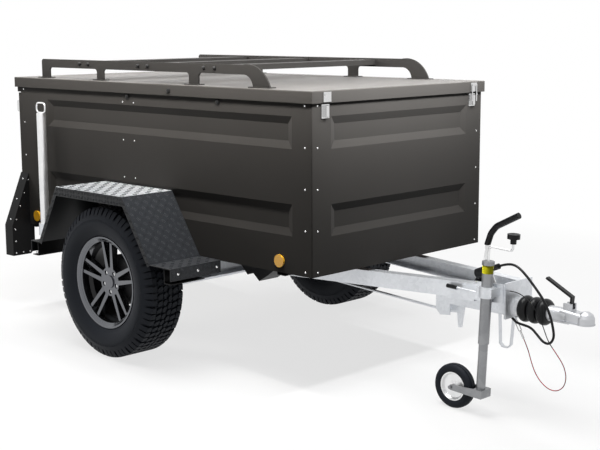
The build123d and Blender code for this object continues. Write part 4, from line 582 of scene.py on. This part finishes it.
# Jack wheel and band. A solid rubber tyre with two grooves, pressed on a dished rim, and a plain yellow band
# wrapped round the jack's outer tube near its top.
JACK_WHEEL = Vector(next(joint["pos_m"] for joint in frame["joints"] if joint["name"] == "jack_spin"))
HALF_JACK_TYRE = (
    (0.0200, 0.0643), (0.0240, 0.0680), (0.0257, 0.0760), (0.0257, 0.0870), (0.0225, 0.0930),
    (0.0170, 0.0970), (0.0115, 0.0987), (0.0108, 0.0955), (0.0082, 0.0955), (0.0075, 0.0994))
jack_tyre = spun_ring([*HALF_JACK_TYRE, *((-along, r) for along, r in HALF_JACK_TYRE[::-1])],
                      Vector((0, 1, 0)), steps=72)
bmesh.ops.transform(jack_tyre, matrix=STANCE.inverted() @ Matrix.Translation(JACK_WHEEL),
                    verts=jack_tyre.verts)
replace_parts(piece("grooved_jack_tyre", jack_tyre, tyre_rubber, "jack_wheel", smooth=40),
            "jack_tyre")
yellow_band = finish("yellow_band", (0.95, 0.88, 0.02), (1.0, 0.94, 0.03), (0.4, 0.5), fine=400, bump=0.03,
                     gloss=0.2)
BAND_REACH, BAND_INSIDE, BAND_OUTSIDE, BAND_UP = 0.0205, 0.0240, 0.0245, 0.1020
JACK_CLAMP_PLACE = (0.592, JACK_WHEEL.y, 0.470)
band = spun_ring(((-BAND_REACH, BAND_INSIDE), (-BAND_REACH, BAND_OUTSIDE), (BAND_REACH, BAND_OUTSIDE),
                  (BAND_REACH, BAND_INSIDE)), Vector((1, 0, 0)), steps=48)
upright = Matrix.Translation(JACK_CLAMP_PLACE) @ Matrix.Rotation(NOSE_UP, 4, "Y")
round_tube = Matrix.Translation((0, 0, BAND_UP)) @ Matrix.Rotation(pi / 2, 4, "Y")
bmesh.ops.transform(band, matrix=upright @ round_tube, verts=band.verts)
piece("jack_band", band, yellow_band, "chassis")

# Reflectors and tail lamps. Moulded coloured plastic, amber on the side walls and red behind, screwed to
# the walls and to the lamp carriers.
amber = finish("amber_reflector", (0.96, 0.45, 0.02), (1.0, 0.54, 0.03), (0.15, 0.25), fine=300, coat=0.5)
dress(amber, "reflectors")
red_lens = finish("red_lens", (0.30, 0.008, 0.008), (0.42, 0.012, 0.012), (0.12, 0.2), fine=300, coat=0.5)
dress(red_lens, "tail_lamps")

# Cords. The power cable from the parked plug back to the housing, and the red breakaway wire with its snap
# hook, in a dark sheath along its upper half. Both hang in slack loops under the coupling.
SHEATH_FROM = 0.36
red_wire = finish("red_wire", (0.45, 0.02, 0.03), (0.60, 0.03, 0.04), (0.3, 0.4), fine=800, bump=0.05)
paint_past(red_wire, "Z", SHEATH_FROM, (0.008, 0.008, 0.009))
dress(red_wire, "breakaway_cable")


def hanging_cord(name, route, radius, material, replaced):
    """A round cord along a route in millimetres, the first point of which is its exit."""
    curve = bpy.data.curves.new(name, "CURVE")
    curve.dimensions = "3D"
    curve.bevel_depth = radius
    curve.bevel_resolution = 4
    curve.resolution_u = 8
    curve.use_fill_caps = True
    spline = curve.splines.new("NURBS")
    spline.points.add(len(route) - 1)
    for point, place in zip(spline.points, route):
        point.co = (*[value / 1000 for value in place], 1)
    spline.order_u = 3
    spline.use_endpoint_u = True
    curve.materials.append(material)
    made = bpy.data.objects.new(name, curve)
    bpy.context.scene.collection.objects.link(made)
    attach(made, "chassis")
    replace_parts(made, replaced)


POWER_ROUTE = (
    (1208.9, -45, 645.1), (1245.6, -46, 661.5), (1295.4, -50, 666.9), (1344.6, -57, 643.2),
    (1400.6, -66, 601.8), (1459.0, -74, 552.5), (1497.8, -76, 494.2), (1516.8, -72, 430.0),
    (1516.5, -66, 395.0), (1493.9, -57, 363.9), (1457.0, -47, 360.2), (1421.0, -38, 380.5),
    (1379.8, -30, 406.6), (1329.6, -26, 408.2), (1294.5, -24, 410.6), (1270.6, -20, 428.7))
hanging_cord("power_lead", POWER_ROUTE[::-1], radius=0.0055, material=soft_rubber, replaced="power_cable")
BREAKAWAY_ROUTE = (
    (1288.2, -70, 554.4), (1322.6, -74, 558.0), (1368.1, -80, 548.2), (1414.4, -86, 520.3),
    (1454.4, -88, 480.2), (1480.8, -88, 429.4), (1503.1, -84, 380.4), (1541.2, -78, 338.1),
    (1575.3, -70, 293.7), (1587.6, -62, 244.2), (1574.8, -54, 197.5), (1541.2, -46, 167.9),
    (1497.5, -38, 159.8), (1450.7, -30, 175.7), (1411.1, -24, 209.8), (1381.7, -18, 258.5),
    (1360.6, -13, 303.6), (1332.1, -8, 341.8))
hanging_cord("breakaway_wire", BREAKAWAY_ROUTE, radius=0.002, material=red_wire, replaced="breakaway_cable")

# Studio floor and room. A plain white floor that keeps a soft shadow, in an even white room. Both light the
# object less than they show, so that dark coats stay dark.
floor_mesh = bmesh.new()
bmesh.ops.create_grid(floor_mesh, x_segments=1, y_segments=1, size=60)
floor_data = bpy.data.meshes.new("floor")
floor_mesh.to_mesh(floor_data)
floor_mesh.free()
studio_floor = bpy.data.objects.new("floor", floor_data)
bpy.context.scene.collection.objects.link(studio_floor)


def backdrop_rays(tree):
    """A value of 1 for rays that see the room itself or mirror it, and 0 for those that light the object."""
    path = tree.nodes.new("ShaderNodeLightPath")
    mirrored, seen = tree.nodes.new("ShaderNodeMath"), tree.nodes.new("ShaderNodeMath")
    mirrored.operation = seen.operation = "MAXIMUM"
    tree.links.new(path.outputs["Is Glossy Ray"], mirrored.inputs[0])
    tree.links.new(path.outputs["Is Transmission Ray"], mirrored.inputs[1])
    tree.links.new(path.outputs["Is Camera Ray"], seen.inputs[0])
    tree.links.new(mirrored.outputs[0], seen.inputs[1])
    return seen.outputs[0]


pale_floor = bpy.data.materials.new("pale_floor")
pale_floor.use_nodes = True
paving = pale_floor.node_tree
paint = paving.nodes["Principled BSDF"]
paint.inputs["Roughness"].default_value = 0.9
paint.inputs["Specular IOR Level"].default_value = 0.0
glow, blend, share, grey, place, away, fade = (paving.nodes.new(kind) for kind in (
    "ShaderNodeEmission", "ShaderNodeMixShader", "ShaderNodeMath", "ShaderNodeMix", "ShaderNodeTexCoord",
    "ShaderNodeVectorMath", "ShaderNodeMapRange"))
grey.data_type = "RGBA"
grey.inputs["A"].default_value = (0.05, 0.05, 0.05, 1)
grey.inputs["B"].default_value = (0.8, 0.8, 0.8, 1)
paving.links.new(backdrop_rays(paving), grey.inputs["Factor"])
paving.links.new(grey.outputs["Result"], paint.inputs["Base Color"])
away.operation = "LENGTH"
paving.links.new(place.outputs["Object"], away.inputs[0])
paving.links.new(away.outputs["Value"], fade.inputs["Value"])
for setting, value in (("From Min", 1.5), ("From Max", 4.0), ("To Min", 0.72), ("To Max", 1.0)):
    fade.inputs[setting].default_value = value
share.operation = "MULTIPLY"
paving.links.new(fade.outputs["Result"], share.inputs[1])
paving.links.new(backdrop_rays(paving), share.inputs[0])
paving.links.new(share.outputs[0], blend.inputs["Fac"])
paving.links.new(paint.outputs["BSDF"], blend.inputs[1])
paving.links.new(glow.outputs["Emission"], blend.inputs[2])
paving.links.new(blend.outputs["Shader"], paving.nodes["Material Output"].inputs["Surface"])
floor_data.materials.append(pale_floor)

world = bpy.data.worlds.new("studio")
bpy.context.scene.world = world
world.use_nodes = True
room = world.node_tree
backdrop = room.nodes["Background"]
backdrop.inputs["Color"].default_value = (1, 1, 1, 1)
level = room.nodes.new("ShaderNodeMapRange")
level.inputs["To Min"].default_value = 0.08
level.inputs["To Max"].default_value = 1.0
room.links.new(backdrop_rays(room), level.inputs["Value"])
room.links.new(level.outputs["Result"], backdrop.inputs["Strength"])


# Studio lamps. A small lamp behind the wheel side that throws the prop stand's shadow forward, a strip over
# each side of the box, and a broad lamp on top that the lid and the fenders mirror.
def soft_lamp(name, place, aim, size, watts, tint=(1, 1, 1), mirrored=False):
    """A lamp as wide and as high as its size, aimed at a point."""
    data = bpy.data.lights.new(name, "AREA")
    data.shape = "RECTANGLE"
    data.size, data.size_y = size
    data.energy = watts
    data.color = tint
    lamp = bpy.data.objects.new(name, data)
    lamp.location = place
    lamp.rotation_euler = (Vector(aim) - Vector(place)).to_track_quat("-Z", "Y").to_euler()
    lamp.visible_camera, lamp.visible_glossy = False, mirrored
    bpy.context.scene.collection.objects.link(lamp)


WARM = (1, 0.97, 0.93)
soft_lamp("side_lamp", (-4.6, -2.0, 1.9), (-0.6, -0.6, 0.9), (0.5, 0.5), 70, tint=WARM)
soft_lamp("over_side_lamp", (-0.5, -0.87, 1.80), (-0.5, 0, 1.72), (2.8, 0.25), 100, tint=WARM)
soft_lamp("over_left_lamp", (-0.5, 0.87, 1.80), (-0.5, 0, 1.72), (2.8, 0.25), 100)
soft_lamp("over_front_lamp", (0.95, 0.0, 1.80), (0, 0, 1.72), (1.4, 0.25), 75)
soft_lamp("over_back_lamp", (-1.93, 0.0, 1.80), (0, 0, 1.72), (1.4, 0.25), 75)
soft_lamp("top_lamp", (0.3, -0.9, 5.0), (-0.1, -0.4, 0.6), (3.0, 3.0), 260, mirrored=True)

# Camera. A 73 mm lens off the front right corner, fitted to the box's edges in the photograph and placed on
# the level trailer as the pieces are.
CAMERA_PLACE = Vector((3.5665, -4.3166, 1.5994))
yaw, pitch, roll = radians(134.41), radians(9.405), radians(-0.285)
lens = bpy.data.cameras.new("camera")
lens.sensor_width = 36
lens.lens = 73.11
camera = bpy.data.objects.new("camera", lens)
forward = Vector((cos(yaw) * cos(pitch), sin(yaw) * cos(pitch), -sin(pitch)))
right = forward.cross(Vector((0, 0, 1))).normalized()
above = right.cross(forward)
across = right * cos(roll) + above * sin(roll)
upward = above * cos(roll) - right * sin(roll)
turn = STANCE.to_3x3() @ Matrix((across, upward, -forward)).transposed()
camera.matrix_world = Matrix.Translation(STANCE @ CAMERA_PLACE) @ turn.to_4x4()
bpy.context.scene.collection.objects.link(camera)
bpy.context.scene.camera = camera
bpy.context.scene.view_settings.view_transform = "Standard"
